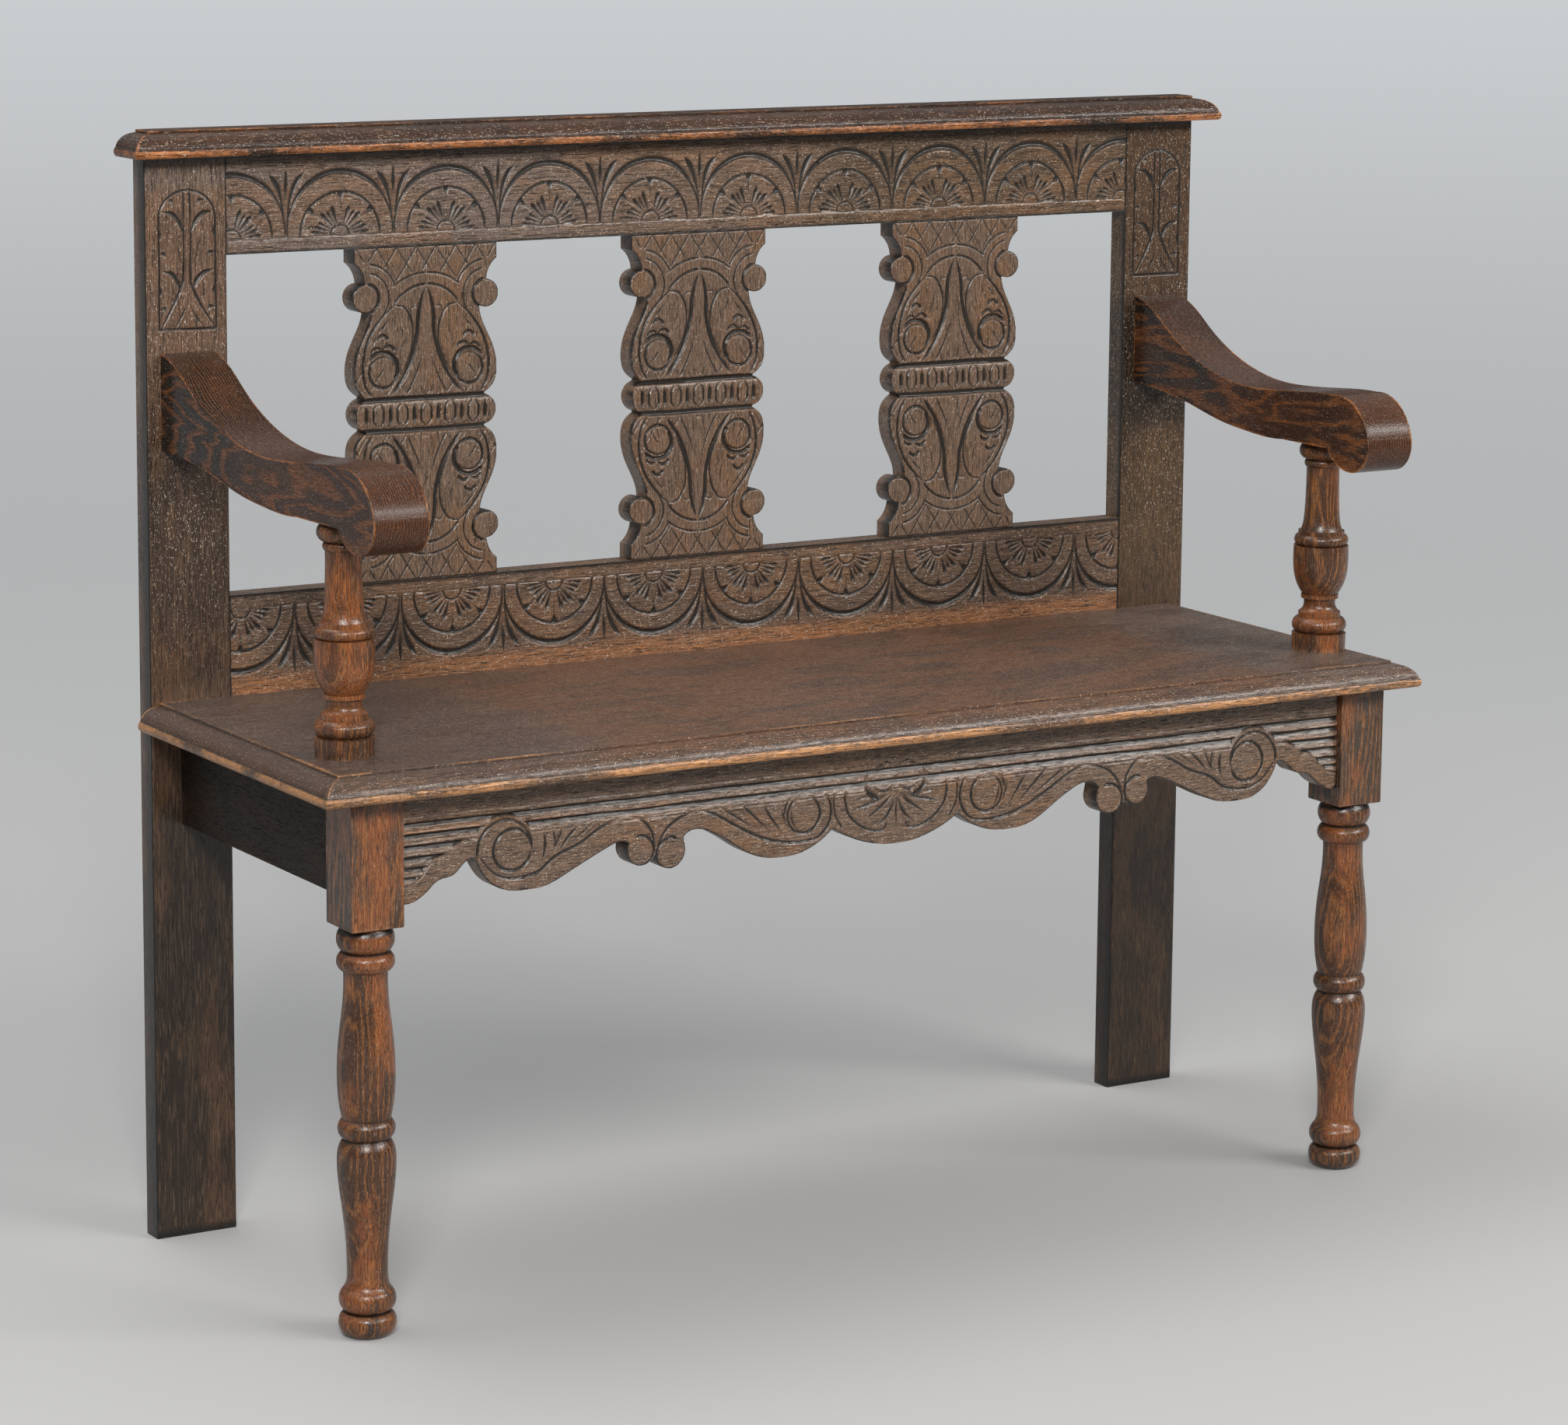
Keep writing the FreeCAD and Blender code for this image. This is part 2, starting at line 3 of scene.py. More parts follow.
import bmesh
import bpy
import numpy as np
from mathutils import Matrix, Vector
from mathutils.kdtree import KDTree


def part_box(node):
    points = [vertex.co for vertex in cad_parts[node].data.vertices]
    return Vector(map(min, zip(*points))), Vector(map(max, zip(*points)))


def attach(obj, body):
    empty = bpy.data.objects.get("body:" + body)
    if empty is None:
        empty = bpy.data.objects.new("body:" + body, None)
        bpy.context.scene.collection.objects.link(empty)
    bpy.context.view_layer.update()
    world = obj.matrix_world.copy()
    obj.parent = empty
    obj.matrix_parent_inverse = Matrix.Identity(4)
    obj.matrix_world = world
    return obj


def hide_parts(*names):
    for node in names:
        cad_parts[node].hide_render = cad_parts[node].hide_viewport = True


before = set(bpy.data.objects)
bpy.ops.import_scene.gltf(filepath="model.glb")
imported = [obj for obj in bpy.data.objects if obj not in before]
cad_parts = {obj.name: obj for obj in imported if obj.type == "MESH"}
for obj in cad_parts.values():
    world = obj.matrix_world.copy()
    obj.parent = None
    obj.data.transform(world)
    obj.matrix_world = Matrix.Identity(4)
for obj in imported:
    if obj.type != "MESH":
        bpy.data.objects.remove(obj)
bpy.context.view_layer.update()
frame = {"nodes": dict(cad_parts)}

mm = 0.001
touching = 0.01 * mm
merging = 0.001 * mm
print(f"Frame loaded: {len(frame['nodes'])} pieces")


# Shader maths: a Value wraps a socket, and each operator adds a Math node
class Value:
    def __init__(self, finish, socket):
        self.finish, self.socket = finish, socket

    def maths(self, operation, *numbers):
        return self.finish.node("ShaderNodeMath", {"operation": operation}, *numbers)

    def __add__(self, other):
        return self.maths("ADD", self, other)

    def __sub__(self, other):
        return self.maths("SUBTRACT", self, other)

    def __rsub__(self, other):
        return self.maths("SUBTRACT", other, self)

    def __mul__(self, other):
        return self.maths("MULTIPLY", self, other)

    __radd__, __rmul__ = __add__, __mul__

    def scaled(self, least, gain):
        return self * gain + least

    def within(self, low, high):
        return self.maths("MAXIMUM", self.maths("MINIMUM", self, high), low)

    def step(self, low, high):  # 0 below low, 1 above high, smooth between
        settings = {"interpolation_type": "SMOOTHSTEP"}
        return self.finish.node("ShaderNodeMapRange", settings, self, low, high)


class Finish:
    def __init__(self, owner, shader="Principled BSDF"):
        owner.use_nodes = True
        self.owner, self.tree = owner, owner.node_tree
        self.shader = self.tree.nodes[shader]

    def fill(self, socket, value):
        if isinstance(value, Value):
            self.tree.links.new(value.socket, socket)
        else:
            socket.default_value = value

    def node(self, kind, settings, *inputs, output=0, **named):
        made = self.tree.nodes.new(kind)
        for key, setting in settings.items():
            setattr(made, key, setting)
        for key, value in [*enumerate(inputs), *named.items()]:
            self.fill(made.inputs[key], value)
        return Value(self, made.outputs[output])

    def place(self, stretch=(1, 1, 1)):  # Object coordinates in millimetres, scaled along each axis
        where = self.node("ShaderNodeTexCoord", {}, output="Object")
        scale = [share / mm for share in stretch]
        return self.node("ShaderNodeVectorMath", {"operation": "MULTIPLY"}, where, scale)

    def along(self, axis):
        return self.node("ShaderNodeSeparateXYZ", {}, self.place(), output=axis)

    def noise(self, where, detail, roughness, distortion=0):
        return self.node("ShaderNodeTexNoise", {}, where, Scale=1, Detail=detail,
                         Roughness=roughness, Distortion=distortion)

    def blend(self, share, first, second):  # a plain colour is red, green, blue
        made = self.tree.nodes.new("ShaderNodeMix")
        made.data_type = "RGBA"
        self.fill(made.inputs[0], share)
        for index, tone in ((6, first), (7, second)):
            self.fill(made.inputs[index], tone if isinstance(tone, Value) else (*tone, 1))
        return Value(self, made.outputs[2])

    def marked(self, name):  # a mark that a piece carries on its own points
        return self.node("ShaderNodeAttribute", {"attribute_name": name}, output="Fac")

    def feed(self, **sockets):
        for key, value in sockets.items():
            self.fill(self.shader.inputs[key.replace("_", " ")], value)


# Old oak: streaks and open pores along the grain, rubbed edges, pale flecks and specks that also stand in
# for painted glints, and hollows darkened by grime and painted shade
figure = {
    # size across the grain and along it in millimetres, detail, roughness
    "streaks": (0.9, 24, 4, 0.68),
    "pores": (0.55, 9, 2, 0.6),
    "flecks": (0.7, 6, 2, 0.55),
    "specks": (0.9, 1.6, 1, 0.5),
    "patches": (38, 95, 3, 0.6),
    "grime": (3, 4.2, 3, 0.65),
}
shows = {
    # where each mark starts to show, and where it shows in full
    "pores": (0.53, 0.64), "ringsWithPores": (0.05, 0.65), "patches": (0.46, 0.62),
    "rings": (0.35, 1), "wear": (0.2, 0.75), "streaks": (0.34, 0.66), "flecks": (0.62, 0.74),
    "specks": (0.66, 0.74), "hollow": (0.08, 0.85),
}
mottle = {
    # how much shows where a mask is 0, and how much more where it is 1
    "bands": (0.2, 1.6), "rubbedGrime": (0.2, 1.3), "rubbedPatches": (-0.55, 2.4),
}
surface = {
    # what each mark adds to the roughness and to the height
    "rough": {"streaks": 0.12, "grime": 0.1, "pores": 0.16, "hollow": 0.06},
    "height": {"streaks": 0.5, "pores": -0.9, "patches": 1.6, "grime": 0.4},
    "roughRange": (0.14, 0.9), "wornHeight": 1.6, "bumpDistance": 0.32,
}


def oak(name, grain, tones):
    finish = Finish(bpy.data.materials.new(name))

    def noise(acrossSize, alongSize, *how):
        stretch = [1 / (alongSize if axis == grain else acrossSize) for axis in "xyz"]
        return finish.noise(finish.place(stretch), *how)

    marks = {key: noise(*settings) for key, settings in figure.items()}
    marks |= {key: finish.marked(key) for key in ("wear", "hollow")}
    streaks, patches, grime, wear = (marks[key] for key in ("streaks", "patches", "grime", "wear"))
    broad = noise(*tones["ringSize"], 2, 0.45, tones["swirl"])
    tilt = finish.node("ShaderNodeVectorMath", {"operation": "DOT_PRODUCT"}, finish.place(),
                       tones["tilt"], output="Value")
    phase = broad * tones["rings"] + tilt
    rings = phase.maths("PINGPONG", phase, 0.5) * 2
    marks["pores"] = marks["pores"].step(*shows["pores"]) * rings.step(*shows["ringsWithPores"])

    body = tones["body"]
    for axis, low, high, share, tone in tones["bands"]:
        position = finish.along(axis)
        edge = (high - low) / 5
        inside = position.step(low, low + edge) * (1 - position.step(high - edge, high))
        body = finish.blend(inside * patches.scaled(*mottle["bands"]) * share, body, tone)
    rubbed = wear * grime.scaled(*mottle["rubbedGrime"]) * patches.scaled(*mottle["rubbedPatches"])
    raised = finish.along("Z").step(*tones["flecksAbove"])
    layers = (
        ("patch", patches.step(*shows["patches"])),
        ("light", rings.step(*shows["rings"])),
        ("wear", rubbed.step(*shows["wear"])),
        ("deep", 1 - streaks.step(*shows["streaks"])),
        # pale flecks and specks: partly pale grain and scratches, partly painted glints
        ("fleck", marks["flecks"].step(*shows["flecks"]) * raised),
        ("pore", marks["pores"]),
        ("speck", marks["specks"].step(*shows["specks"]) * raised),
        # hollows near black: grime with painted shade
        ("hollow", marks["hollow"].step(*shows["hollow"])),
    )
    for layer, shown in layers:
        body = finish.blend(shown * tones[layer + "Share"], body, tones[layer])

    rough = tones["rough"] + sum(marks[key] * share for key, share in surface["rough"].items())
    uneven = sum(marks[key] * share for key, share in surface["height"].items())
    bump = finish.node("ShaderNodeBump", {}, Strength=tones["bump"], Distance=surface["bumpDistance"] * mm,
                       Height=uneven * (1 + wear * surface["wornHeight"]))
    finish.feed(Base_Color=body, Roughness=rough.within(*surface["roughRange"]), Normal=bump,
                Specular_IOR_Level=tones["sheen"], Coat_Weight=tones["coat"],
                Coat_Roughness=tones["coatRough"])
    return finish.owner


oakTones = {
    "ringSize": (9, 210), "swirl": 0.4, "rings": 11, "tilt": (0, 0, 0),
    "bands": [],  # axis, low end, high end, share, tone
    "body": (0.146, 0.093, 0.064),
    "patch": (0.19, 0.092, 0.04), "patchShare": 0.55,
    "light": (0.262, 0.165, 0.098), "lightShare": 0.35,
    "wear": (0.4, 0.21, 0.11), "wearShare": 0.45,
    "deep": (0.018, 0.011, 0.008), "deepShare": 0.6,
    # fleck and speck: pale flecks and scratches that also serve as painted glints
    "fleck": (0.47, 0.33, 0.22), "fleckShare": 0.8,
    "pore": (0.004, 0.003, 0.002), "poreShare": 0.85,
    "speck": (0.65, 0.58, 0.51), "speckShare": 0.65,
    "flecksAbove": (-2, -1),
    # near black in hollows: grime with painted shade
    "hollow": (0.006, 0.005, 0.004), "hollowShare": 0.94,
    "rough": 0.17, "sheen": 0.38, "bump": 0.9, "coat": 0.08, "coatRough": 0.2,
}
seatTones = oakTones | {
    "bands": [("X", -600, -250, 0.9, (0.085, 0.065, 0.055)),
              ("X", 360, 600, 0.9, (0.13, 0.096, 0.078)),
              ("Z", 420, 460.8, 0.9, (0.078, 0.037, 0.016))],
    "body": (0.15, 0.068, 0.034), "light": (0.22, 0.112, 0.062),
    "patch": (0.075, 0.042, 0.03), "patchShare": 0.85,
    "wear": (0.56, 0.26, 0.095), "wearShare": 1,
    "deep": (0.018, 0.01, 0.007), "deepShare": 0.75,
    "fleckShare": 0.6, "rough": 0.25, "bump": 0.6, "sheen": 0.42,
}
capTones = oakTones | {
    "body": (0.03, 0.013, 0.007), "patch": (0.08, 0.029, 0.011), "light": (0.08, 0.036, 0.015),
    "wear": (0.5, 0.18, 0.055), "wearShare": 0.9, "rough": 0.2, "sheen": 0.26, "coat": 0.06,
}
armTones = oakTones | {
    "ringSize": (26, 120), "swirl": 0.3, "rings": 5, "tilt": (0.4, 0, 0),
    "bands": [("Y", 20, 300, 1.2, (0.009, 0.006, 0.005))],
    "body": (0.034, 0.013, 0.007), "patch": (0.07, 0.024, 0.009),
    "light": (0.24, 0.078, 0.02), "lightShare": 0.6,
    "wear": (0.5, 0.185, 0.05), "wearShare": 0.9,
    "fleckShare": 0.35, "speckShare": 0.25, "rough": 0.09, "sheen": 0.2, "coat": 0.1,
}
turnedTones = oakTones | {
    "ringSize": (26, 150), "rings": 6, "tilt": (0.2, 0.12, 0),
    "bands": [("Z", -16, 64, 1.1, (0.05, 0.032, 0.023)),
              ("Z", 322, 475, 1.1, (0.06, 0.041, 0.029)),
              # left faces of the leg blocks near black: painted shade on the side turned from the light
              ("X", -510, -503.9, 1, (0.02, 0.012, 0.008)),
              ("X", 454, 460.1, 1, (0.02, 0.012, 0.008))],
    "body": (0.07, 0.028, 0.012), "patch": (0.3, 0.086, 0.02), "patchShare": 0.75,
    "light": (0.39, 0.148, 0.04), "lightShare": 0.55, "deepShare": 0.7,
    "fleckShare": 0.35, "speckShare": 0.2, "rough": 0.1, "coat": 0.12,
}
# Near black: dark oak with painted shade, for the rails under the seat and every piece not named below
darkShadedTones = oakTones | {
    "body": (0.014, 0.009, 0.006), "patch": (0.03, 0.012, 0.006), "light": (0.024, 0.013, 0.008),
    "deep": (0.005, 0.004, 0.003), "fleck": (0.04, 0.028, 0.02), "speck": (0.1, 0.08, 0.06),
    "wearShare": 0.2, "sheen": 0.15, "rough": 0.36, "coat": 0,
}
# posts darker below 450 mm: painted shade under the seat
underSeatShade = ("Z", -200, 450, 1.6, (0.02, 0.013, 0.009))
leftPostTones = oakTones | {
    "bands": [underSeatShade,
              # darker from 440 to 720 mm: painted shadow of the arm, with some grime
              ("Z", 440, 720, 1.2, (0.04, 0.023, 0.015)),
              ("Z", 880, 960, 0.7, (0.135, 0.108, 0.092))],
    "body": (0.138, 0.08, 0.052), "patchShare": 0.3, "lightShare": 0.25, "flecksAbove": (420, 620),
}
rightPostTones = leftPostTones | {
    "bands": [underSeatShade,
              ("Z", 470, 640, 0.9, (0.08, 0.046, 0.02)),
              ("Z", 620, 760, 1.1, (0.024, 0.016, 0.011))],
    "body": (0.07, 0.038, 0.02), "light": (0.16, 0.094, 0.044), "patch": (0.12, 0.058, 0.026),
}
topRailTones = oakTones | {
    "bands": [("X", -600, -60, 0.7, (0.15, 0.116, 0.102)),
              ("X", 60, 600, 1, (0.08, 0.048, 0.026))],
}
bottomRailTones = oakTones | {
    "bands": [("Z", 420, 482, 0.8, (0.33, 0.125, 0.042)),
              ("Y", 186, 196, 1.2, (0.06, 0.04, 0.028))],
    "body": (0.11, 0.066, 0.044),
}

steel = Finish(bpy.data.materials.new("screw_steel"))
steel.feed(Base_Color=(0.3, 0.29, 0.28, 1), Metallic=1, Roughness=0.45)
finishes = (
    # material, grain, tones, pieces
    ("left_post_oak", "z", leftPostTones, ["left_post"]),
    ("right_post_oak", "z", rightPostTones, ["right_post"]),
    ("top_rail_oak", "x", topRailTones, ["top_rail"]),
    ("splat_oak", "z", oakTones, ["splat_left", "splat_middle", "splat_right"]),
    ("bottom_rail_oak", "x", bottomRailTones, ["bottom_rail"]),
    ("carved_oak_lengthwise", "x", oakTones, ["front_apron"]),
    ("seat_oak", "x", seatTones, ["seat_board"]),
    ("cap_oak", "x", capTones, ["top_cap"]),
    ("arm_oak", "y", armTones, ["left_arm", "right_arm"]),
    ("turned_oak", "z", turnedTones,
     ["left_arm_support", "right_arm_support", "left_front_leg", "right_front_leg"]),
    ("dark_oak_deep", "y", darkShadedTones, ["left_side_rail", "right_side_rail"]),
)
materialOf = dict.fromkeys(frame["nodes"], oak("dark_oak_long", "x", darkShadedTones))
for name, grain, tones, nodes in finishes:
    materialOf |= dict.fromkeys(nodes, oak(name, grain, tones))
materialOf |= dict.fromkeys(["arm_screws", "seat_screws"], steel.owner)
for node, piece in frame["nodes"].items():
    piece.data.materials.clear()
    piece.data.materials.append(materialOf[node])
print("Finishes made")


# Carving: cuts in a board's face are kept as depths in millimetres over a fine raster
class Relief:
    samples = 3
    ringPoints = 13
    ringEnds = 0.3

    def __init__(self, xLines, zLines):
        self.xLines, self.zLines = xLines, zLines
        self.x, self.z = np.meshgrid(self.finer(xLines), self.finer(zLines), indexing="ij")
        self.depth = np.zeros_like(self.x)
        # how much of the grime and painted shade in hollows each place takes
        self.dirtAndShadeScale = np.ones_like(self.x)

    def finer(self, lines):  # several samples for each line, spread between its neighbours
        share = (np.arange(self.samples) + 0.5) / self.samples - 0.5
        return (lines[:, None] + np.gradient(lines)[:, None] * share).ravel()

    def coarse(self, values):  # one value for each pair of lines
        shape = (len(self.xLines), self.samples, len(self.zLines), self.samples)
        return values.reshape(shape).mean((1, 3))

    # The part of the board to carve next, all of it if not said, and the pattern's own u and v there
    def aim(self, pattern, low=(-1000, 0), high=(1000, 1000)):
        columns = slice(*np.searchsorted(self.x[:, 0], (low[0], high[0])))
        rows = slice(*np.searchsorted(self.z[0], (low[1], high[1])))
        self.target, self.targetDirtAndShadeScale = self.depth[columns, rows], self.dirtAndShadeScale[columns, rows]
        self.u, self.v = pattern(self.x[columns, rows], self.z[columns, rows])

    def near(self, points, reach):
        low, high = np.min(points, axis=0) - reach, np.max(points, axis=0) + reach
        return np.nonzero((self.u > low[0]) & (self.u < high[0]) & (self.v > low[1]) & (self.v < high[1]))

    def sink(self, chosen, depth):
        self.target[chosen] = np.maximum(self.target[chosen], depth)

    # A gouge stroke along a smooth curve, as wide at each point as widths says
    def stroke(self, points, widths, slope=0.9, deepest=2, steps=5):
        points = np.array(points, float)
        share = np.linspace(0, len(points) - 1, (len(points) - 1) * steps + 1)
        line = curveThrough(points, share)
        half = np.interp(share, np.linspace(0, len(points) - 1, len(widths)), widths) / 2
        chosen = self.near(line, half.max())
        u, v = self.u[chosen], self.v[chosen]
        inside = np.full(u.shape, -1.0)
        for start, end, halfStart, halfEnd in zip(line, line[1:], half, half[1:]):
            run = end - start
            length = max(float(run @ run), 1e-9)
            along = np.clip(((u - start[0]) * run[0] + (v - start[1]) * run[1]) / length, 0, 1)
            away = np.hypot(u - start[0] - along * run[0], v - start[1] - along * run[1])
            inside = np.maximum(inside, halfStart + (halfEnd - halfStart) * along - away)
        self.sink(chosen, deepest * (1 - np.exp(-np.maximum(inside, 0) * slope / deepest)))

    # A groove round part of a circle, from one angle in degrees to another
    def ring(self, centre, radius, width, turn=(0, 360), **how):
        angles = np.radians(np.linspace(*turn, self.ringPoints))
        points = np.array(centre) + radius * np.stack([np.cos(angles), np.sin(angles)], 1)
        ends = width * (1 if turn[1] - turn[0] == 360 else self.ringEnds)
        self.stroke(points, [ends, *[width] * (self.ringPoints - 2), ends], steps=3, **how)

    # The space between two circles, hollowed like a gouge cut
    def crescent(self, outer, outerRadius, inner, innerRadius, slopes=(1.3, 1), deepest=2.8):
        chosen = self.near([outer], outerRadius)
        u, v = self.u[chosen], self.v[chosen]
        fromOuter = outerRadius - np.hypot(u - outer[0], v - outer[1])
        fromInner = np.hypot(u - inner[0], v - inner[1]) - innerRadius
        wall = np.maximum(np.minimum(fromInner * slopes[0], fromOuter * slopes[1]), 0)
        self.sink(chosen, deepest * (1 - np.exp(-wall / deepest)))


def curveThrough(points, share):  # Catmull-Rom
    ends = np.concatenate([2 * points[:1] - points[1:2], points, 2 * points[-1:] - points[-2:-1]])
    first = np.minimum(share.astype(int), len(points) - 2)
    part = (share - first)[:, None]
    a, b, c, d = (ends[first + step] for step in range(4))
    return 0.5 * (2 * b + (c - a) * part + (2 * a - 5 * b + 4 * c - d) * part ** 2
                  + (3 * b - 3 * c + d - a) * part ** 3)


# Unevenness of hand work: a few slow waves in seeded directions
def wander(x, z, seed, size, wavelength, waves=5, usualSum=3):
    random = np.random.default_rng(seed)
    total = np.zeros_like(x)
    for turn, phase in random.uniform(0, 2 * math.pi, (waves, 2)):
        total += np.sin((x * math.cos(turn) + z * math.sin(turn)) * 2 * math.pi / wavelength + phase)
    return total * size / usualSum


def blurred(values, reach):  # box blur, twice each way
    for axis in (0, 0, 1, 1):
        ends = [(reach + 1, reach) if each == axis else (0, 0) for each in (0, 1)]
        total = np.cumsum(np.pad(values, ends, "edge"), axis)
        span = values.shape[axis]
        upper = np.take(total, range(2 * reach + 1, 2 * reach + 1 + span), axis)
        values = (upper - np.take(total, range(span), axis)) / (2 * reach + 1)
    return values


def mergedCopy(node):
    copy = bmesh.new()
    copy.from_mesh(frame["nodes"][node].data)
    bmesh.ops.remove_doubles(copy, verts=copy.verts, dist=merging)
    return copy


def addObject(name, data):
    made = bpy.data.objects.new(name, data)
    bpy.context.scene.collection.objects.link(made)
    return made


def addShape(name, shape):
    mesh = bpy.data.meshes.new(name)
    shape.to_mesh(mesh)
    shape.free()
    return addObject(name, mesh)


def pointsOf(mesh):
    points = np.empty(len(mesh.vertices) * 3, np.float32)
    mesh.vertices.foreach_get("co", points)
    return points.reshape(-1, 3) / mm


def mark(mesh, name, values):
    layer = mesh.attributes.get(name) or mesh.attributes.new(name, "FLOAT", "POINT")
    layer.data.foreach_set("value", np.clip(values, 0, 1).astype(np.float32))


def settle(piece, node, sharpAngle=40):
    piece.data.materials.clear()
    piece.data.materials.append(materialOf[node])
    kept = piece.data.attributes.get("custom_normal")  # left over from the CAD piece
    if kept:
        piece.data.attributes.remove(kept)
    piece.data.shade_smooth()
    piece.data.set_sharp_from_angle(angle=math.radians(sharpAngle))
    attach(piece, "root")
    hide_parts(node)
    print(f"{node}: {len(piece.data.polygons)} faces")


# Distance in millimetres from each place on a front face to the edges of that face
def edgeDistance(shape, faceY, x, z, farthest):
    distance = np.full(x.shape, farthest)
    for edge in shape.edges:
        ends = [vert.co / mm for vert in edge.verts]
        frontward = [face.normal.y < -0.9 for face in edge.link_faces]
        if frontward[0] == frontward[1] or max(abs(end.y - faceY) for end in ends) > touching / mm:
            continue
        start, end = (np.array([end.x, end.z]) for end in ends)
        run = end - start
        low, high = np.minimum(start, end) - farthest, np.maximum(start, end) + farthest
        chosen = np.nonzero((x > low[0]) & (x < high[0]) & (z > low[1]) & (z < high[1]))
        offX, offZ = x[chosen] - start[0], z[chosen] - start[1]
        along = np.clip((offX * run[0] + offZ * run[1]) / max(float(run @ run), 1e-9), 0, 1)
        away = np.hypot(offX - along * run[0], offZ - along * run[1])
        distance[chosen] = np.minimum(distance[chosen], away)
    return distance


def spaced(low, high, step):
    return np.linspace(low, high, round((high - low) / step) + 1)


# A board whose front is a raster sunk by its carving, sawn out by the outline of the CAD piece
def carvedBoard(node, xLines, zLines, carve):
    low, high = (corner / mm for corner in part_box(node))
    margin = carving["margin"]
    xLines = np.array([low.x - margin, *xLines, high.x + margin])
    zLines = np.array([low.z - margin, *zLines, high.z + margin])
    relief = Relief(xLines, zLines)
    carve(relief)
    x, z = np.meshgrid(xLines, zLines, indexing="ij")
    cad = mergedCopy(node)
    distance = edgeDistance(cad, low.y, x, z, carving["edgeReach"])
    arris = np.maximum(1 - distance / carving["arris"], 0)
    worn = np.maximum(relief.coarse(relief.depth), carving["arrisDrop"] * arris ** 2) + carving["skin"]
    waves = sum(wander(x, z, times * len(node), size, length) for times, size, length in carving["waves"])
    worn += np.maximum(waves + carving["waveLift"], 0)

    slab = bmesh.new()
    columns, rows = len(xLines) - 1, len(zLines) - 1
    bmesh.ops.create_grid(slab, x_segments=columns, y_segments=rows, size=1)
    grown = bmesh.ops.extrude_edge_only(slab, edges=[edge for edge in slab.edges if edge.is_boundary])
    back = [item for item in grown["geom"] if isinstance(item, bmesh.types.BMVert)]
    bmesh.ops.translate(slab, verts=back, vec=(0, 0, -1))
    bmesh.ops.holes_fill(slab, edges=[edge for edge in slab.edges if edge.is_boundary], sides=0)
    for vert in slab.verts:
        column, row = round((vert.co.x + 1) / 2 * columns), round((vert.co.y + 1) / 2 * rows)
        front = low.y + worn[column, row]
        y = front if vert.co.z > -0.5 else high.y + margin
        vert.co = Vector((xLines[column], y, zLines[row])) * mm
    bmesh.ops.recalc_face_normals(slab, faces=slab.faces)
    board = addShape(node + "_carved", slab)

    outline = addShape(node + "_outline", cad)
    sawing = board.modifiers.new("outline", "BOOLEAN")
    sawing.operation, sawing.object, sawing.solver = "INTERSECT", outline, "MANIFOLD"
    evaluated = board.evaluated_get(bpy.context.evaluated_depsgraph_get())
    board.data = bpy.data.meshes.new_from_object(evaluated)
    board.modifiers.clear()
    bpy.data.objects.remove(outline)

    points = pointsOf(board.data)
    column = np.clip(np.searchsorted(xLines, points[:, 0] - 0.01), 0, columns)
    row = np.clip(np.searchsorted(zLines, points[:, 2] - 0.01), 0, rows)
    inFront = points[:, 1] < low.y + worn.max() + carving["frontReach"]
    smoothed = blurred(worn, carving["blurLines"])
    # Grime and painted shade: darker where a place lies below its blurred surroundings, and the deeper it is
    # cut
    hollow = (worn - smoothed) * carving["dirtAndShadeGain"] + worn * carving["depthGain"]
    hollow *= relief.coarse(relief.dirtAndShadeScale)
    wear = (smoothed - worn) * carving["ridgeGain"] + arris
    mark(board.data, "hollow", np.where(inFront, hollow[column, row], 0))
    mark(board.data, "wear", np.where(inFront, wear[column, row], 0))
    settle(board, node, carving["sharpAngle"])


carving = {
    "margin": 2,
    # seed, size and length of the waves in a hand-planed face
    "waves": ((1, 0.08, 31), (2, 0.04, 9)), "waveLift": 0.06, "blurLines": 4, "frontReach": 0.1,
    # the two gains for hollows darken cut places: grime with painted shade
    "edgeReach": 4.0, "arris": 2.2, "arrisDrop": 1.3, "skin": 0.03, "dirtAndShadeGain": 1.5,
    "depthGain": 0.07, "ridgeGain": 0.6, "sharpAngle": 50, "pitch": 0.86,
}

# Lunettes: half-round suns side by side, with leaf blades growing from the points between them
lunettes = {
    "outer": ((0, 7.4), 50.1), "inner": ((0, 2.8), 47.7),
    # radius, width, angles
    "rings": [(37, 3, (-6, 186)), (8.6, 2.4, (-12, 192))],
    "ringSlope": 1.5, "cutAngles": (38, 90, 142),
    # radii, widths, slope, deepest: notches in the arc, and veins between the rays
    "cuts": [((35.4, 29.8), [7, 1.2], 1.3, 2), ((13, 31), [0.6, 1.8], 1.5, 2)],
    "rayStart": 10.2, "rayMiddle": 0.6, "rayWidths": (0.5, 1, 1.5, 0.4), "rayCut": (1.4, 2.4),
    # angle, radius of the tip, width
    "rays": [(7, 28, 2.8), (18, 26, 3.2), (29, 24, 2.8), (47, 27, 3.6), (59, 25, 3), (72, 27, 3.4)],
    "centreBlade": ([(0, 1), (0, 20), (0, 43), (0, 61)], [0.8, 2.4, 5, 0.4]),
    "sideBlade": ([(0.6, 2), (1.7, 16), (3.2, 28), (6.6, 40), (11, 48), (16, 54)],
                  [0.8, 3.2, 4.8, 6.8, 6, 0.8]),
    "bladeCut": (1.3, 2.6),
}


def spoke(radii, angle):
    turn = math.radians(angle)
    return [(radius * math.cos(turn), radius * math.sin(turn)) for radius in radii]


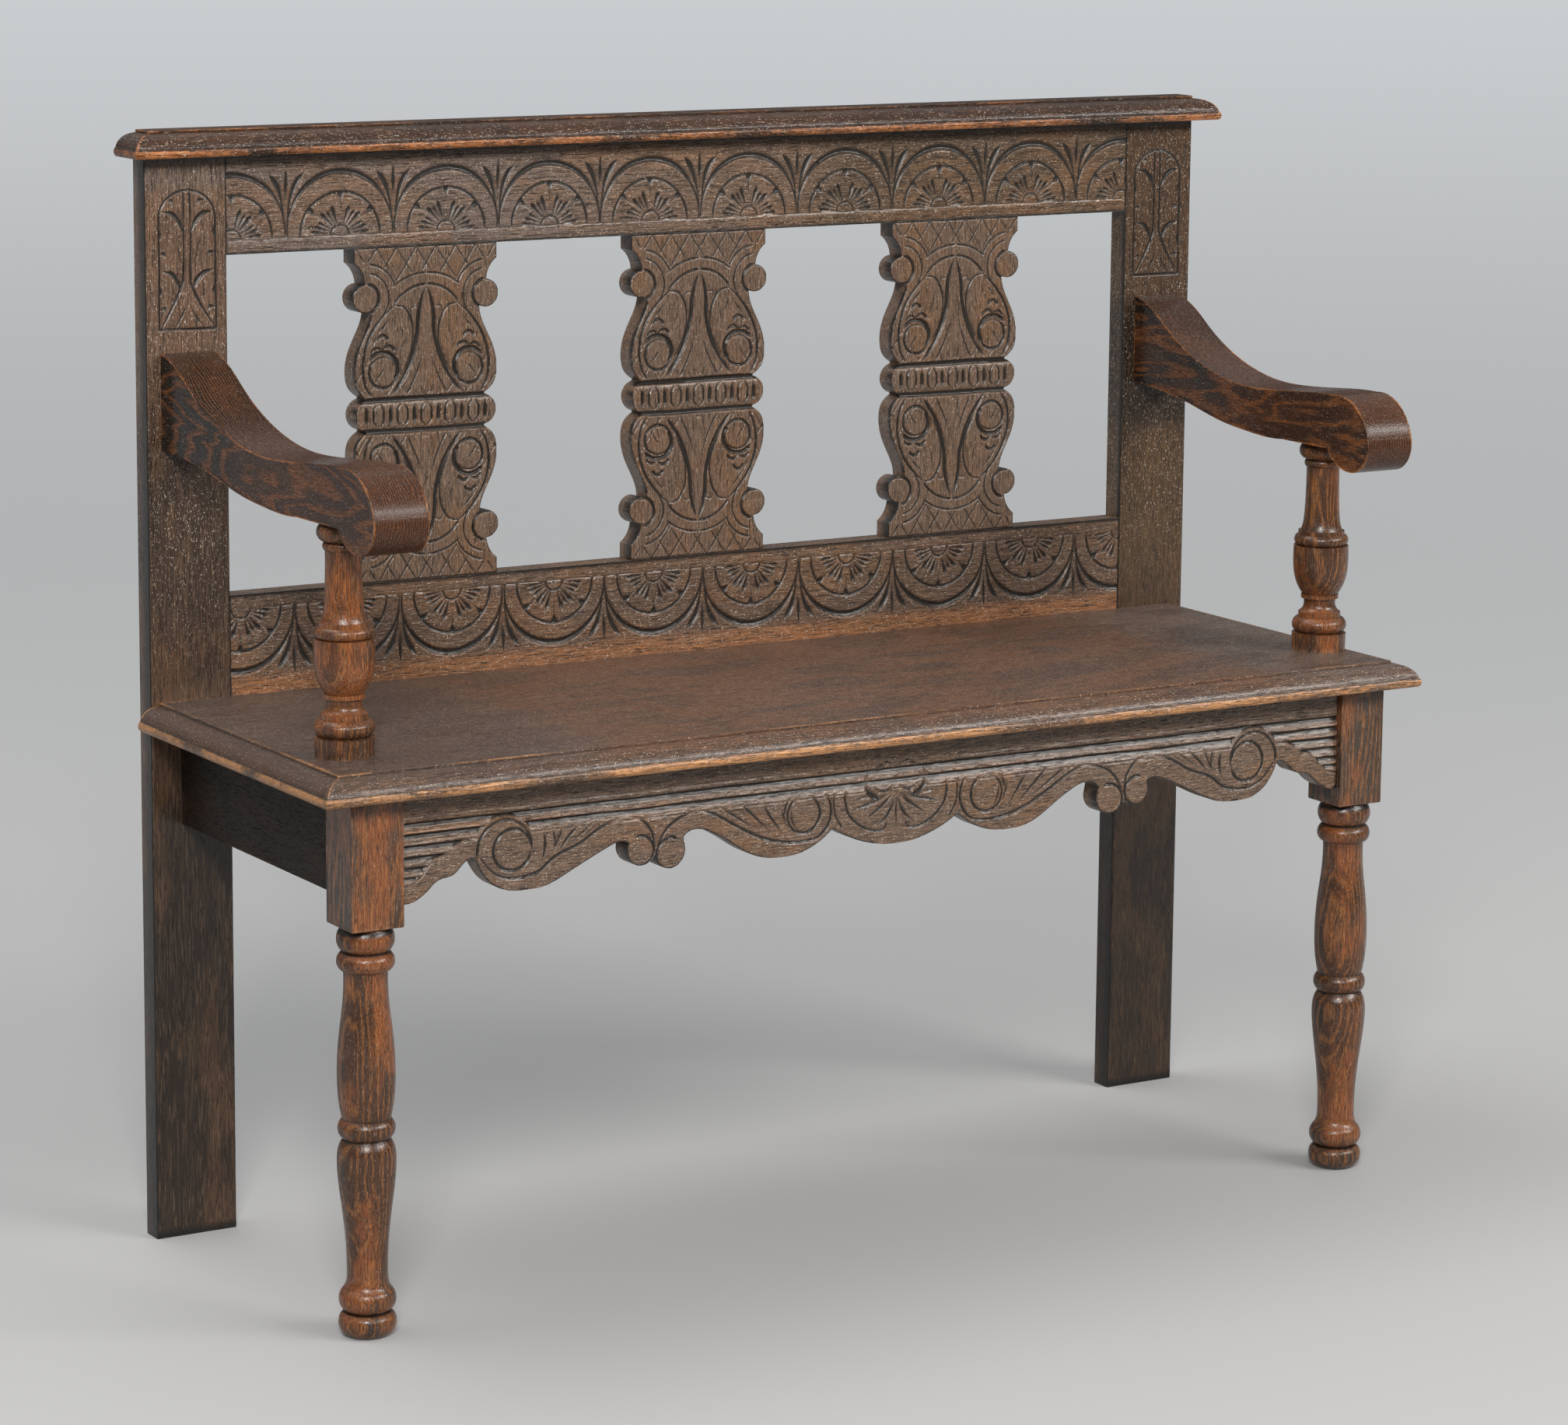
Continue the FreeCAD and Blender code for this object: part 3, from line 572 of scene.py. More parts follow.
def carveLunette(relief, look):
    relief.crescent(*look["outer"], *look["inner"])
    for radius, width, turn in look["rings"]:
        relief.ring((0, 0), radius, width, turn, slope=look["ringSlope"])
    for angle in look["cutAngles"]:
        for radii, *cut in look["cuts"]:
            relief.stroke(spoke(radii, angle), *cut)
    for angle, tip, width in look["rays"]:
        middle = look["rayStart"] + (tip - look["rayStart"]) * look["rayMiddle"]
        widths = [width * share for share in look["rayWidths"]]
        for side in (angle, 180 - angle):
            relief.stroke(spoke((look["rayStart"], middle, tip), side), widths, *look["rayCut"])


def carveBlades(relief, look):
    relief.stroke(*look["centreBlade"], *look["bladeCut"])
    for side in (-1, 1):
        points, widths = look["sideBlade"]
        relief.stroke([(side * across, up) for across, up in points], widths, *look["bladeCut"])


# A row of lunettes standing on a scored line, growing upward or hanging down from it
lunetteRow = {
    "count": 9, "sway": 0.45, "swayLengths": (60, 70), "seeds": (20, 50), "bladeReach": 30,
    "lineEnds": (-600, 600), "lineReach": 5, "lineWander": (7, 0.3, 150), "lineWidth": 1.6,
    "lineSlope": 1.1,
}
topRow = lunetteRow | {"line": 843.5, "up": 1, "firstPoint": -397.5, "pitch": 99.25, "reach": 67}
bottomRow = lunetteRow | {"line": 535, "up": -1, "firstPoint": -393, "pitch": 99.4, "reach": 63}


def carveLunetteRow(relief, row, look):
    def pattern(centre, seed):
        def local(x, z):
            acrossLength, upLength = row["swayLengths"]
            across = x + wander(x, z, seed, row["sway"], acrossLength) - centre
            return across, row["up"] * (z + wander(x, z, seed + 1, row["sway"], upLength) - row["line"])
        return local

    line, pitch, reach = row["line"], row["pitch"], row["bladeReach"]
    low, high = sorted((line, line + row["up"] * row["reach"]))
    lunetteSeed, bladeSeed = row["seeds"]
    for index in range(-1, row["count"]):
        point = row["firstPoint"] + pitch * index
        relief.aim(pattern(point + pitch / 2, index + lunetteSeed), (point, low), (point + pitch, high))
        carveLunette(relief, look)
    for index in range(row["count"]):
        point = row["firstPoint"] + pitch * index
        relief.aim(pattern(point, index + bladeSeed), (point - reach, low), (point + reach, high))
        carveBlades(relief, look)
    left, right = row["lineEnds"]
    relief.aim(lambda x, z: (x, z + wander(x, z, *row["lineWander"])),
               (left, low - row["lineReach"]), (right, high + row["lineReach"]))
    relief.stroke([(left, line), (right, line)], [row["lineWidth"]] * 2, row["lineSlope"], steps=1)


rails = {
    "end": 451.9,
    "topLines": [831.6, 835, 840, *spaced(842, 907, carving["pitch"]), 914.4],
    "bottomLines": [439.6, 445, 452, 460, 468, *spaced(474, 537, carving["pitch"]), 542, 546.4],
}
railX = spaced(-rails["end"], rails["end"], carving["pitch"])
carvedBoard("top_rail", railX, rails["topLines"], lambda relief: carveLunetteRow(relief, topRow, lunettes))
carvedBoard("bottom_rail", railX, rails["bottomLines"],
            lambda relief: carveLunetteRow(relief, bottomRow, lunettes))

# Splats: the same leaves, discs and scored net on all four quarters, round a fluted band
splats = {
    "middles": {"left": -267.04, "middle": 0, "right": 267.04},
    "boardZ": 689, "boardHalf": (68.9, 142.4), "pitch": 0.76, "centreZ": 688.3, "sway": (0.5, 90),
    "usualCut": (1, 1.4),
    # each stroke: points, widths, and slope and deepest where they differ
    "strokes": [
        ([(33, 17.5), (27, 24), (20, 35), (13, 50), (8.4, 69), (7.2, 85), (4.6, 98), (0.4, 110)],
         [1.5, 3.5, 4.6, 5.2, 5.4, 4.6, 3.4, 0.6], 1, 2.6),
        ([(30, 93.5), (21, 91.5), (14.5, 82), (12, 70), (13.7, 55), (21, 38), (30, 20.5)],
         [1.4, 3.2, 3], 1.1, 2.2),
        ([(30, 93.5), (39, 86), (47, 77), (53.5, 67), (58.3, 54), (59.8, 41), (57.5, 27), (52, 17.5)],
         [1.4, 3.2, 3, 2.4], 1.1, 2.2),
        ([(30.5, 86), (38, 79), (45, 70.5), (50.5, 60.5), (54, 49)], [0.6, 1.8, 1.8, 1], 1, 1.6),
        ([(19, 17), (13.5, 27), (8.6, 38), (4.4, 50), (1.6, 61)], [2, 1.8, 0.5], 1, 1.6),
        ([(4, 17), (5.2, 23), (4.6, 31)], [2.2, 1.4, 0.4], 1, 1.6),
        ([(10, 17), (10.3, 22), (8.8, 27)], [1.8, 0.4]),
        ([(38.5, 60), (38.3, 70)], [1.8, 0.4]),
        ([(33, 70), (29.5, 80), (29.8, 89)], [0.5, 1.5, 0.4]),
        ([(27.5, 58), (22.5, 70), (22, 84)], [0.5, 1.6, 0.4]),
        ([(31, 52), (19, 64), (18, 78)], [0.5, 1.4, 0.4]),
        ([(44, 66), (40, 75), (34, 83)], [0.4, 1.5, 0.4]),
    ],
    # each ring: centre, radius, width, angles, deepest
    "rings": [
        ((0, 74.3), 36.4, 2.4, (32, 90), 2),
        ((0, 71), 49.6, 2, (50, 90), 1.6),
        ((57, 100), 22, 1.8, (95, 225), 1.5),
        ((57, 100), 29.5, 2, (95, 160), 1.6),
        ((57, 100), 12.8, 3.2, (96, 292), 2.8),
        ((40.5, 37.5), 13.4, 3, (0, 360), 2.4),
        ((41.5, 39.5), 14.8, 5, (35, 225), 3.2),
        ((46.5, 53), 5, 3.2, (5, 175), 2.4),
        ((35.5, 54.5), 5, 3.2, (5, 175), 2.4),
        ((41, 64), 4.6, 3, (5, 175), 2.2),
        ((11.2, 88), 3.8, 1.5, (-30, 195), 1.6),
    ],
    "ringSlope": 1.2, "broader": 1.15, "steeper": 1.25, "deeper": 1.5,
    # the scored net, outside two circles: centre and radius
    "netOutside": [((0, 71), 49.6), ((57, 100), 29.5)],
    "netTop": 142.5, "netPitch": 18.8, "netTurn": 56, "netHalfWidth": 0.95, "netDepth": 1.1,
    "netGap": 1, "netSlope": 0.5,
    # the band's edge, its fillet's edge and their drop
    "band": (11.6, 16.4, 2.6), "filletSlope": 1.6, "tongues": (0, 22.4, 44.8),
    "tongue": [(-4.8, 0), (-4.6, 5), (0, 10.4), (4.6, 5), (4.8, 0)],
    "tongueCut": ([2.8, 2.8], 1.6, 4.6), "darts": (11.2, 33.6, 56),
    "dart": [(0, 0), (0, 4), (0, 11)],
    "dartCut": ([4.8, 4.8, 0.8], 1.4, 4.2),
}


# The strokes and rings of a drawing, broader, steeper and deeper as its dictionary says
def carveDrawing(relief, look):
    broader, steeper, deeper = (look[key] for key in ("broader", "steeper", "deeper"))
    for points, widths, *cut in look["strokes"]:
        slope, deepest = cut or look["usualCut"]
        relief.stroke(points, [width * broader for width in widths], slope * steeper, deepest * deeper)
    for centre, radius, width, turn, deepest in look["rings"]:
        relief.ring(centre, radius, width * broader, turn, slope=look["ringSlope"] * steeper,
                    deepest=deepest * deeper)


def carveSplat(relief, middle, seed):
    def pattern(x, z):
        across = x - middle + wander(x, z, seed, *splats["sway"])
        return np.abs(across), np.abs(z - splats["centreZ"] + wander(x, z, seed + 1, *splats["sway"]))

    relief.aim(pattern)
    u, v = relief.u, relief.v
    carveDrawing(relief, splats)
    outside = np.min([np.hypot(u - centre[0], v - centre[1]) - radius
                      for centre, radius in splats["netOutside"]], axis=0)
    netTurn, pitch = math.radians(splats["netTurn"]), splats["netPitch"]
    for lean in (-1, 1):
        phase = np.mod(u + lean * (v - splats["netTop"]) / math.tan(netTurn), pitch)
        away = np.abs(phase - pitch / 2) * math.sin(netTurn)
        scored = np.minimum(splats["netHalfWidth"] - away, (outside - splats["netGap"]) * splats["netSlope"])
        chosen = np.nonzero(scored > 0)
        relief.sink(chosen, scored[chosen] * splats["netDepth"])

    bandEdge, fillet, drop = splats["band"]
    chosen = np.nonzero((v > bandEdge) & (v < fillet))
    relief.sink(chosen, np.minimum(drop, (fillet - v[chosen]) * splats["filletSlope"]))
    chosen = np.nonzero(v <= bandEdge)
    relief.target[chosen] = drop * (1 - np.sqrt(1 - (v[chosen] / (bandEdge + 0.6)) ** 2))
    for form in ("tongue", "dart"):
        for place in splats[form + "s"]:
            relief.stroke([(place + across, up) for across, up in splats[form]], *splats[form + "Cut"])


for side, middle in splats["middles"].items():
    halfWidth, halfHeight = splats["boardHalf"]
    carvedBoard(f"splat_{side}", spaced(middle - halfWidth, middle + halfWidth, splats["pitch"]),
                spaced(splats["boardZ"] - halfHeight, splats["boardZ"] + halfHeight, splats["pitch"]),
                lambda relief: carveSplat(relief, middle, 70 + round(middle) % 7))

# Apron: scrolls and leaves either side of a flower, with fluting at the ends
apron = {
    "xLines": spaced(-458.9, 458.9, 0.92),
    "zLines": [*spaced(340, 354, 4), *spaced(355, 423, 0.92), 426, 432, 437],
    # seed, size and length of the drawing's wander
    "wanders": ((5, 0.5, 140), (6, 0.5, 120)), "usualCut": (1, 1.8), "ringSlope": 1.2,
    "broader": 1.35, "steeper": 1.3, "deeper": 1.3,
    "ridges": [366.7, 373, 380.6, 389.2, 398.2, 407.1, 416.4],
    "fluteSlopes": (0.55, 1.7), "fluteDirtAndShadeScale": 0.5, "fluteStop": ((367.5, 384.7), 26.5),
    "ramp": [(388, 396.2), (394, 395.9), (403.3, 395), (410.3, 392.2), (416.1, 388.6), (420.2, 385.2),
             (430, 382.8), (435.8, 378.7), (439.8, 373.3), (447.3, 367.2), (455.4, 365.1), (462, 364.4)],
    "strokes": [
        # ribbons
        ([(66, 372), (75, 364.5), (89.7, 362), (107.8, 363.2), (130, 369.4), (152.2, 380.6),
          (174.4, 393), (191, 397.8), (210.6, 393), (221.7, 384.7), (228, 373.6)],
         [1.6, 2.6, 2.6, 2.2], 1.1, 2),
        ([(389.7, 380.6), (377, 366.7), (360.6, 361), (338, 363.9), (321.7, 375), (299.4, 383.3),
          (280, 394.4), (260.6, 400), (243.9, 397.2), (234, 386), (231.4, 375)],
         [1.6, 2.6, 2.6, 2.2], 1.1, 2),
        # leaves beside the small scroll
        ([(100, 402.2), (102.8, 411.1), (110.6, 416.7), (117.5, 410.6), (118.9, 404.2)], [1.8, 2, 1.4]),
        ([(118.9, 404.5), (124.4, 407.8), (130, 406.1), (130, 398.6)], [1.6, 1.8, 1.4]),
        ([(131.4, 397.2), (139.7, 406.9), (149.4, 411.9), (157.8, 410.6), (159.2, 405.6)], [1.6, 2, 1.4]),
        ([(160.6, 404.2), (171.7, 410.6), (186.1, 414.4), (184.2, 408.9)], [1.6, 2, 1]),
        ([(185.6, 404.2), (195.3, 411.1), (198.6, 415), (195.3, 405.6), (186.9, 399.2)], [1.2, 1.8, 1.4]),
        ([(91.1, 368), (99, 376), (102.2, 386.1), (101, 396)], [0.6, 2.4, 0.6]),
        ([(102.2, 369.4), (109.2, 384.7), (111.9, 399)], [0.6, 2.4, 0.5]),
        ([(110.6, 370.8), (123, 387.5), (130, 398.6)], [0.8, 2.6, 0.8]),
        ([(120.3, 372.2), (135.6, 386.1), (149.4, 398.6), (158.3, 405.6)], [0.8, 2.6, 1]),
        ([(132.8, 375.6), (152.2, 387.5), (171.7, 400), (184.2, 408.9)], [0.8, 2.6, 0.8]),
        ([(152.2, 384.5), (174.4, 397), (192.5, 406.4), (198, 413.9)], [0.8, 2.2, 0.6]),
        # leaves beside the large scroll
        ([(356.4, 409), (349.4, 415.3), (338.3, 416.4), (330.6, 409.7), (328.9, 405)], [1.2, 2, 1.6]),
        ([(328.9, 405.6), (320.3, 411.1), (315.8, 406.9), (315.6, 397.2), (321.7, 383.3)], [1.4, 2, 1.8]),
        ([(314.7, 395.8), (309.2, 405.6), (299.4, 410.3), (290.6, 409.4), (291.1, 404.2)], [1.6, 2, 1.4]),
        ([(288.3, 403.3), (274.4, 410.3), (259.2, 414.4), (261.9, 406.9), (268.9, 401.4)], [1.6, 2, 1.2]),
        ([(334, 372), (331, 386), (333, 400)], [0.8, 2.6, 0.6]),
        ([(326.5, 374), (322, 386), (324, 398), (325, 404)], [0.8, 2, 0.5]),
        ([(320.3, 377.2), (307.8, 391.7), (291.1, 404.2)], [0.8, 2.6, 0.8]),
        ([(312, 380.6), (293.9, 394.4), (274.4, 404.2), (260.6, 412.5)], [0.8, 2.6, 0.8]),
        ([(302.2, 384.5), (282.8, 397), (268.9, 402.5)], [0.8, 2.2, 0.8]),
        # flower
        ([(44, 419), (54, 412), (60.5, 398), (59.5, 381), (52.8, 369.4)], [1.2, 2.4, 1.6]),
        ([(24, 417), (38, 414), (46.7, 405.6), (50, 394.4), (46.7, 380.6), (35.6, 369.4), (21.7, 363.4),
          (12, 364), (9.5, 369)], [0.8, 2.2, 2.2, 1.6]),
        ([(0, 364), (0, 380), (0, 395)], [0.6, 2.2, 0.8]),
        ([(1, 394), (4, 383), (10, 374), (18, 368)], [0.8, 2.8, 1]),
        ([(2, 395), (13, 385), (28, 375)], [0.8, 3, 0.8]),
        ([(3, 396), (20, 388.5), (44, 383)], [0.8, 3.2, 0.8]),
        ([(5, 397), (24, 393.5), (42, 392)], [0.8, 2.8, 0.6]),
    ],
    "rings": [
        ((360.8, 384.3), 17, 2.6, (-175, 175), 2.2),
        ((367.5, 384.7), 24.6, 2.6, (-15, 185), 2.2),
        ((90, 384.7), 15.6, 2.4, (0, 360), 2),
        ((86, 384.8), 22.6, 2.4, (-5, 250), 2),
        ((244.4, 370.8), 12.6, 2.6, (70, 290), 2.6),
        ((216, 365.4), 13.4, 2.6, (-60, 120), 2.6),
        ((12.4, 407.2), 11.4, 2.8, (-200, 100), 2.6),
        ((14.5, 405), 14.6, 5, (-80, 45), 2.8),
        ((12.4, 407.2), 13.6, 2, (90, 150), 1.6),
    ],
    # where each line starts beside the middle, and its height
    "scored": [(62, 420), (372, 416.8)],
    "scoredEnd": 470,
    # widths, slope, deepest
    "scoredCut": ([2, 2], 1.3, 1.5), "rampCut": ([1.6, 2.8, 2.8], 1.3, 1.6),
}


def carveApron(relief):
    acrossWander, upWander = apron["wanders"]
    relief.aim(lambda x, z: (np.abs(x + wander(x, z, *acrossWander)), z + wander(x, z, *upWander)))
    u, v = relief.u, relief.v
    carveDrawing(relief, apron)
    aboveRamp = v - np.interp(u, *zip(*apron["ramp"]))
    centre, radius = apron["fluteStop"]
    besideScroll = np.hypot(u - centre[0], v - centre[1]) - radius
    fluted = np.minimum(aboveRamp, besideScroll)
    gentle, steep = apron["fluteSlopes"]
    for low, high in zip(apron["ridges"], apron["ridges"][1:]):
        scoop = np.minimum(np.minimum((v - low) * gentle, (high - v) * steep), fluted)
        chosen = np.nonzero(scoop > 0)
        relief.sink(chosen, scoop[chosen])
        # the flutes take half the grime and painted shade
        relief.targetDirtAndShadeScale[chosen] = apron["fluteDirtAndShadeScale"]
    relief.stroke(apron["ramp"], *apron["rampCut"], steps=2)
    for inner, height in apron["scored"]:
        relief.stroke([(inner, height), (apron["scoredEnd"], height)], *apron["scoredCut"], steps=1)


carvedBoard("front_apron", apron["xLines"], apron["zLines"], carveApron)

# Posts: an arched panel with a stem and leaves
panel = {
    "middle": 487.3, "postMiddle": 488.5, "postHalf": 36.4, "pitch": 0.78,
    "zLines": [*spaced(0.2, 765, 12), *spaced(768, 890, 0.78), 898, 906, 914.4],
    "area": ((-600, 765), (600, 892)),
    # seed on the middle line, size and length of the drawing's wander
    "wanders": ((9, 0.3, 70), (13, 0.4, 80)), "broader": 1.3, "cut": (1.3, 2.4),
    "archCut": ([2.6, 2.6], 1.4, 2), "baseCut": ([2.8, 2.8], 1.4, 2),
    # the right half of the arch, from its top down
    "arch": [(0, 886.9), (8, 885.6), (16.5, 881), (23, 873), (25.2, 862), (25.2, 830), (25.2, 800),
             (25.2, 771.7)],
    "base": [(-25.4, 771.9), (25.4, 771.9)],
    "strokes": [
        ([(-2.9, 886), (-3.2, 850), (-3.2, 818), (-5, 808), (-12.7, 791.7), (-23.5, 773)],
         [1.8, 1.8, 2.6, 2.6, 1.4]),
        ([(2.6, 886), (3, 850), (3, 818), (4.6, 808), (12, 791.7), (23.8, 773)],
         [1.8, 1.8, 2.6, 2.6, 1.4]),
        ([(0.6, 795), (-5, 783), (-11.5, 773)], [0.5, 1.8, 1.2]),
        ([(0.6, 795), (7, 783), (14, 773)], [0.5, 1.8, 1.2]),
        ([(-22.8, 868.6), (-14, 867.4), (-7, 860.5), (-3.6, 850)], [0.6, 3.8, 4.4, 1]),
        ([(24.2, 868.6), (15, 867.4), (8, 861.5), (3.6, 852)], [0.6, 3.8, 4.4, 1]),
        ([(-22.8, 821), (-14, 818.4), (-8, 811), (-5.6, 802)], [0.6, 3.8, 4.4, 1.2]),
        ([(24.2, 820.6), (15, 818.4), (8.6, 812), (5.4, 803)], [0.6, 3.8, 4.4, 1.2]),
        ([(-16.5, 877), (-13.5, 878.6), (-12.6, 875)], [1, 2.6, 0.6]),
        ([(15.5, 878.5), (11, 878.4), (9.6, 874.6)], [1, 2.6, 0.6]),
        ([(-25, 834.4), (-21, 835), (-19.4, 832)], [1.4, 2.8, 0.6]),
        ([(25, 834.4), (20, 835), (17.8, 831.4)], [1.4, 2.8, 0.6]),
        ([(-24, 788.5), (-20.4, 789.6), (-19.6, 785)], [1.4, 2.8, 0.6]),
        ([(24.6, 790), (20, 790.4), (18, 786)], [1.4, 2.8, 0.6]),
        ([(-25.2, 858), (-24.4, 850), (-25.2, 843)], [0.5, 3.2, 0.5]),
        ([(25.2, 860), (24.2, 852), (25.2, 844)], [0.5, 3.6, 0.5]),
        ([(-25.2, 812), (-24.2, 804), (-25.2, 797)], [0.5, 3.2, 0.5]),
        ([(25.2, 812), (24.2, 804), (25.2, 797)], [0.5, 3.6, 0.5]),
        ([(-12, 849), (-7.6, 836), (-5.6, 822)], [0.4, 1.6, 0.6]),
        ([(-8, 851), (-5.6, 842), (-5, 832)], [0.4, 1.3, 0.4]),
        ([(12, 846), (8, 832), (5.6, 821)], [0.4, 1.6, 0.6]),
        ([(15.5, 853), (9.6, 841), (6.6, 833)], [0.4, 1.4, 0.4]),
        ([(-15.5, 812), (-12.4, 804), (-12, 793)], [0.4, 1.5, 0.4]),
        ([(16.5, 811), (14.5, 801), (15.8, 792)], [0.4, 1.5, 0.4]),
    ],
}


def carvePanel(relief, side):
    def pattern(x, z):
        across, up = (wander(x, z, seed + side, *how) for seed, *how in panel["wanders"])
        return x - side * panel["middle"] + across, z + up

    relief.aim(pattern, *panel["area"])
    arch = [(-across, up) for across, up in panel["arch"][:0:-1]] + panel["arch"]
    relief.stroke(arch, *panel["archCut"], steps=3)
    relief.stroke(panel["base"], *panel["baseCut"], steps=1)
    for points, widths in panel["strokes"]:
        relief.stroke(points, [width * panel["broader"] for width in widths], *panel["cut"])


for node, side in (("left_post", -1), ("right_post", 1)):
    middle = side * panel["postMiddle"]
    carvedBoard(node, spaced(middle - panel["postHalf"], middle + panel["postHalf"], panel["pitch"]),
                panel["zLines"], lambda relief: carvePanel(relief, side))


# Plain and moulded pieces: arrises eased a little, with marks for rubbing, and for grime and painted shade
# in the creases
def distanceTo(points, places, farthest):
    tree = KDTree(len(places))
    for index, place in enumerate(places):
        tree.insert(place, index)
    tree.balance()
    return np.array([min(tree.find(point)[2], farthest) for point in points])


def samplesAlong(edges, spacing):
    for edge in edges:
        start, end = (vert.co / mm for vert in edge.verts)
        steps = max(1, math.ceil((end - start).length / spacing))
        yield from (start.lerp(end, step / steps) for step in range(steps + 1))


def creases(shape, least):
    sharp = [edge for edge in shape.edges if edge.is_manifold and edge.calc_face_angle() > least]
    return [edge for edge in sharp if edge.is_convex], [edge for edge in sharp if not edge.is_convex]


def ease(shape, edges, width):
    bmesh.ops.bevel(shape, geom=edges, offset=width * mm, offset_type="OFFSET", segments=2,
                    profile=0.5, affect="EDGES", clamp_overlap=True, material=-1)


def rimCuts(node, reach, grid):
    low, high = (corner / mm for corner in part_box(node))
    for axis in range(3):
        near, far = low[axis] + reach, high[axis] - reach
        yield spaced(near, far, grid) if far - near > grid else [near, far] if far > near else []


def easedPiece(node, look):
    shape = mergedCopy(node)
    bmesh.ops.dissolve_limit(shape, angle_limit=math.radians(look["flatAngle"]), verts=shape.verts,
                             edges=shape.edges)
    convex, concave = creases(shape, math.radians(look["creaseAngle"]))
    corners, valleys = (list(samplesAlong(edges, look["spacing"])) for edges in (convex, concave))
    ease(shape, convex, look["ease"])
    for axis, positions in zip("xyz", rimCuts(node, look["reach"], look["grid"])):
        normal = [float(axis == each) for each in "xyz"]
        for position in positions:
            where = [position * mm * share for share in normal]
            bmesh.ops.bisect_plane(shape, geom=[*shape.verts, *shape.edges, *shape.faces],
                                   dist=touching, plane_co=where, plane_no=normal)
    bmesh.ops.recalc_face_normals(shape, faces=shape.faces)
    piece = addShape(node + "_eased", shape)
    points = pointsOf(piece.data)
    reach = look["reach"]
    wear = 1 - distanceTo(points, corners, reach) / reach
    low, high = (np.array(corner / mm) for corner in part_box(node))
    outside = np.minimum(points[:, 1] - low[1], np.minimum(points[:, 0] - low[0], high[0] - points[:, 0]))
    nose = (outside < look["noseDepth"]) & (points[:, 2] < low[2] + look["noseHeight"])
    mark(piece.data, "wear", np.where(nose, np.maximum(wear, look["noseWear"]), wear))
    # darker near concave creases: grime with painted shade
    hollow = 1 - distanceTo(points, valleys, reach) / reach if valleys else np.zeros(len(points))
    mark(piece.data, "hollow", hollow * look["valleyShare"])
    settle(piece, node)


plain = {"flatAngle": 0.3, "creaseAngle": 35, "ease": 0.9, "reach": 4, "grid": 30, "spacing": 2,
         "noseDepth": 2.5, "noseHeight": 0, "noseWear": 0, "valleyShare": 1}
moulded = plain | {"ease": 0.6, "creaseAngle": 25, "reach": 3, "grid": 6, "noseHeight": 7.5,
                   "noseWear": 1, "valleyShare": 0.5}
sawn = plain | {"ease": 1.2, "creaseAngle": 40, "reach": 2.8, "grid": 2.8}
eased = {
    "left_side_rail": plain, "right_side_rail": plain, "back_seat_rail": plain,
    "seat_board": moulded, "top_cap": moulded | {"noseWear": 0.85, "noseHeight": 6},
    "left_arm": sawn, "right_arm": sawn,
}
for node, look in eased.items():
    easedPiece(node, look)


def rimEdges(shape, node, look):  # loops round a leg's block, a little in from its corners
    low, high = (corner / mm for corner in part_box(node))
    middle = (low + high) / 2
    for axis in (0, 1):
        for side in (-1, 1):
            where, normal = Vector((0, 0, 0)), Vector((0, 0, 0))
            where[axis] = (middle[axis] + side * (look["block"] / 2 - look["reach"])) * mm
            normal[axis] = 1
            square = [face for face in shape.faces if face.calc_center_median().z > look["squareAbove"] * mm]
            geometry = {*square, *(edge for face in square for edge in face.edges),
                        *(vert for face in square for vert in face.verts)}
            bmesh.ops.bisect_plane(shape, geom=list(geometry), dist=touching, plane_co=where,
                                   plane_no=normal)


# Turned pieces: rubbed where the profile swells, and darkened where it dips by grime and painted shade
def turnedPiece(node, look):
    shape = mergedCopy(node)
    convex = creases(shape, math.radians(look["creaseAngle"]))[0]
    squared = [edge for edge in convex if max(vert.co.z for vert in edge.verts) > look["squareAbove"] * mm]
    corners = list(samplesAlong(squared, look["spacing"]))
    ease(shape, squared, look["ease"])
    if corners:
        rimEdges(shape, node, look)
    for halving in range(look["halvings"]):
        long = [edge for edge in shape.edges if edge.calc_length() > look["longest"] * mm]
        bmesh.ops.subdivide_edges(shape, edges=long, cuts=1, use_grid_fill=True)
    bmesh.ops.recalc_face_normals(shape, faces=shape.faces)
    piece = addShape(node + "_turned", shape)
    points = pointsOf(piece.data)
    centre = [(low + high) / 2 / mm for low, high in zip(*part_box(node))]
    across = np.hypot(points[:, 0] - centre[0], points[:, 1] - centre[1])
    levels = np.round(points[:, 2] - points[:, 2].min()).astype(int)
    radius = np.zeros(levels.max() + 1)
    np.maximum.at(radius, levels, across)
    filled = np.nonzero(radius)[0]
    radius = np.interp(np.arange(len(radius)), filled, radius[filled])
    smooth = blurred(radius[:, None], look["window"])[:, 0]
    swell = (radius - smooth)[levels] / look["swell"]
    squareZone = points[:, 2] > look["squareAbove"]
    reach = look["reach"]
    rubbed = 1 - distanceTo(points, corners, reach) / reach if corners else swell
    mark(piece.data, "wear", np.where(squareZone, rubbed, swell))
    # dips darkened: grime with painted shade
    mark(piece.data, "hollow", np.where(squareZone, 0, -swell))
    settle(piece, node)


turned = {"ease": 1.2, "creaseAngle": 40, "spacing": 2, "longest": 5, "halvings": 3, "window": 5, "swell": 3,
          "squareAbove": 332, "block": 46, "reach": 4}
for node in ("left_front_leg", "right_front_leg"):
    turnedPiece(node, turned)
for node in ("left_arm_support", "right_arm_support"):  # round all the way up
    turnedPiece(node, turned | {"squareAbove": 2000})

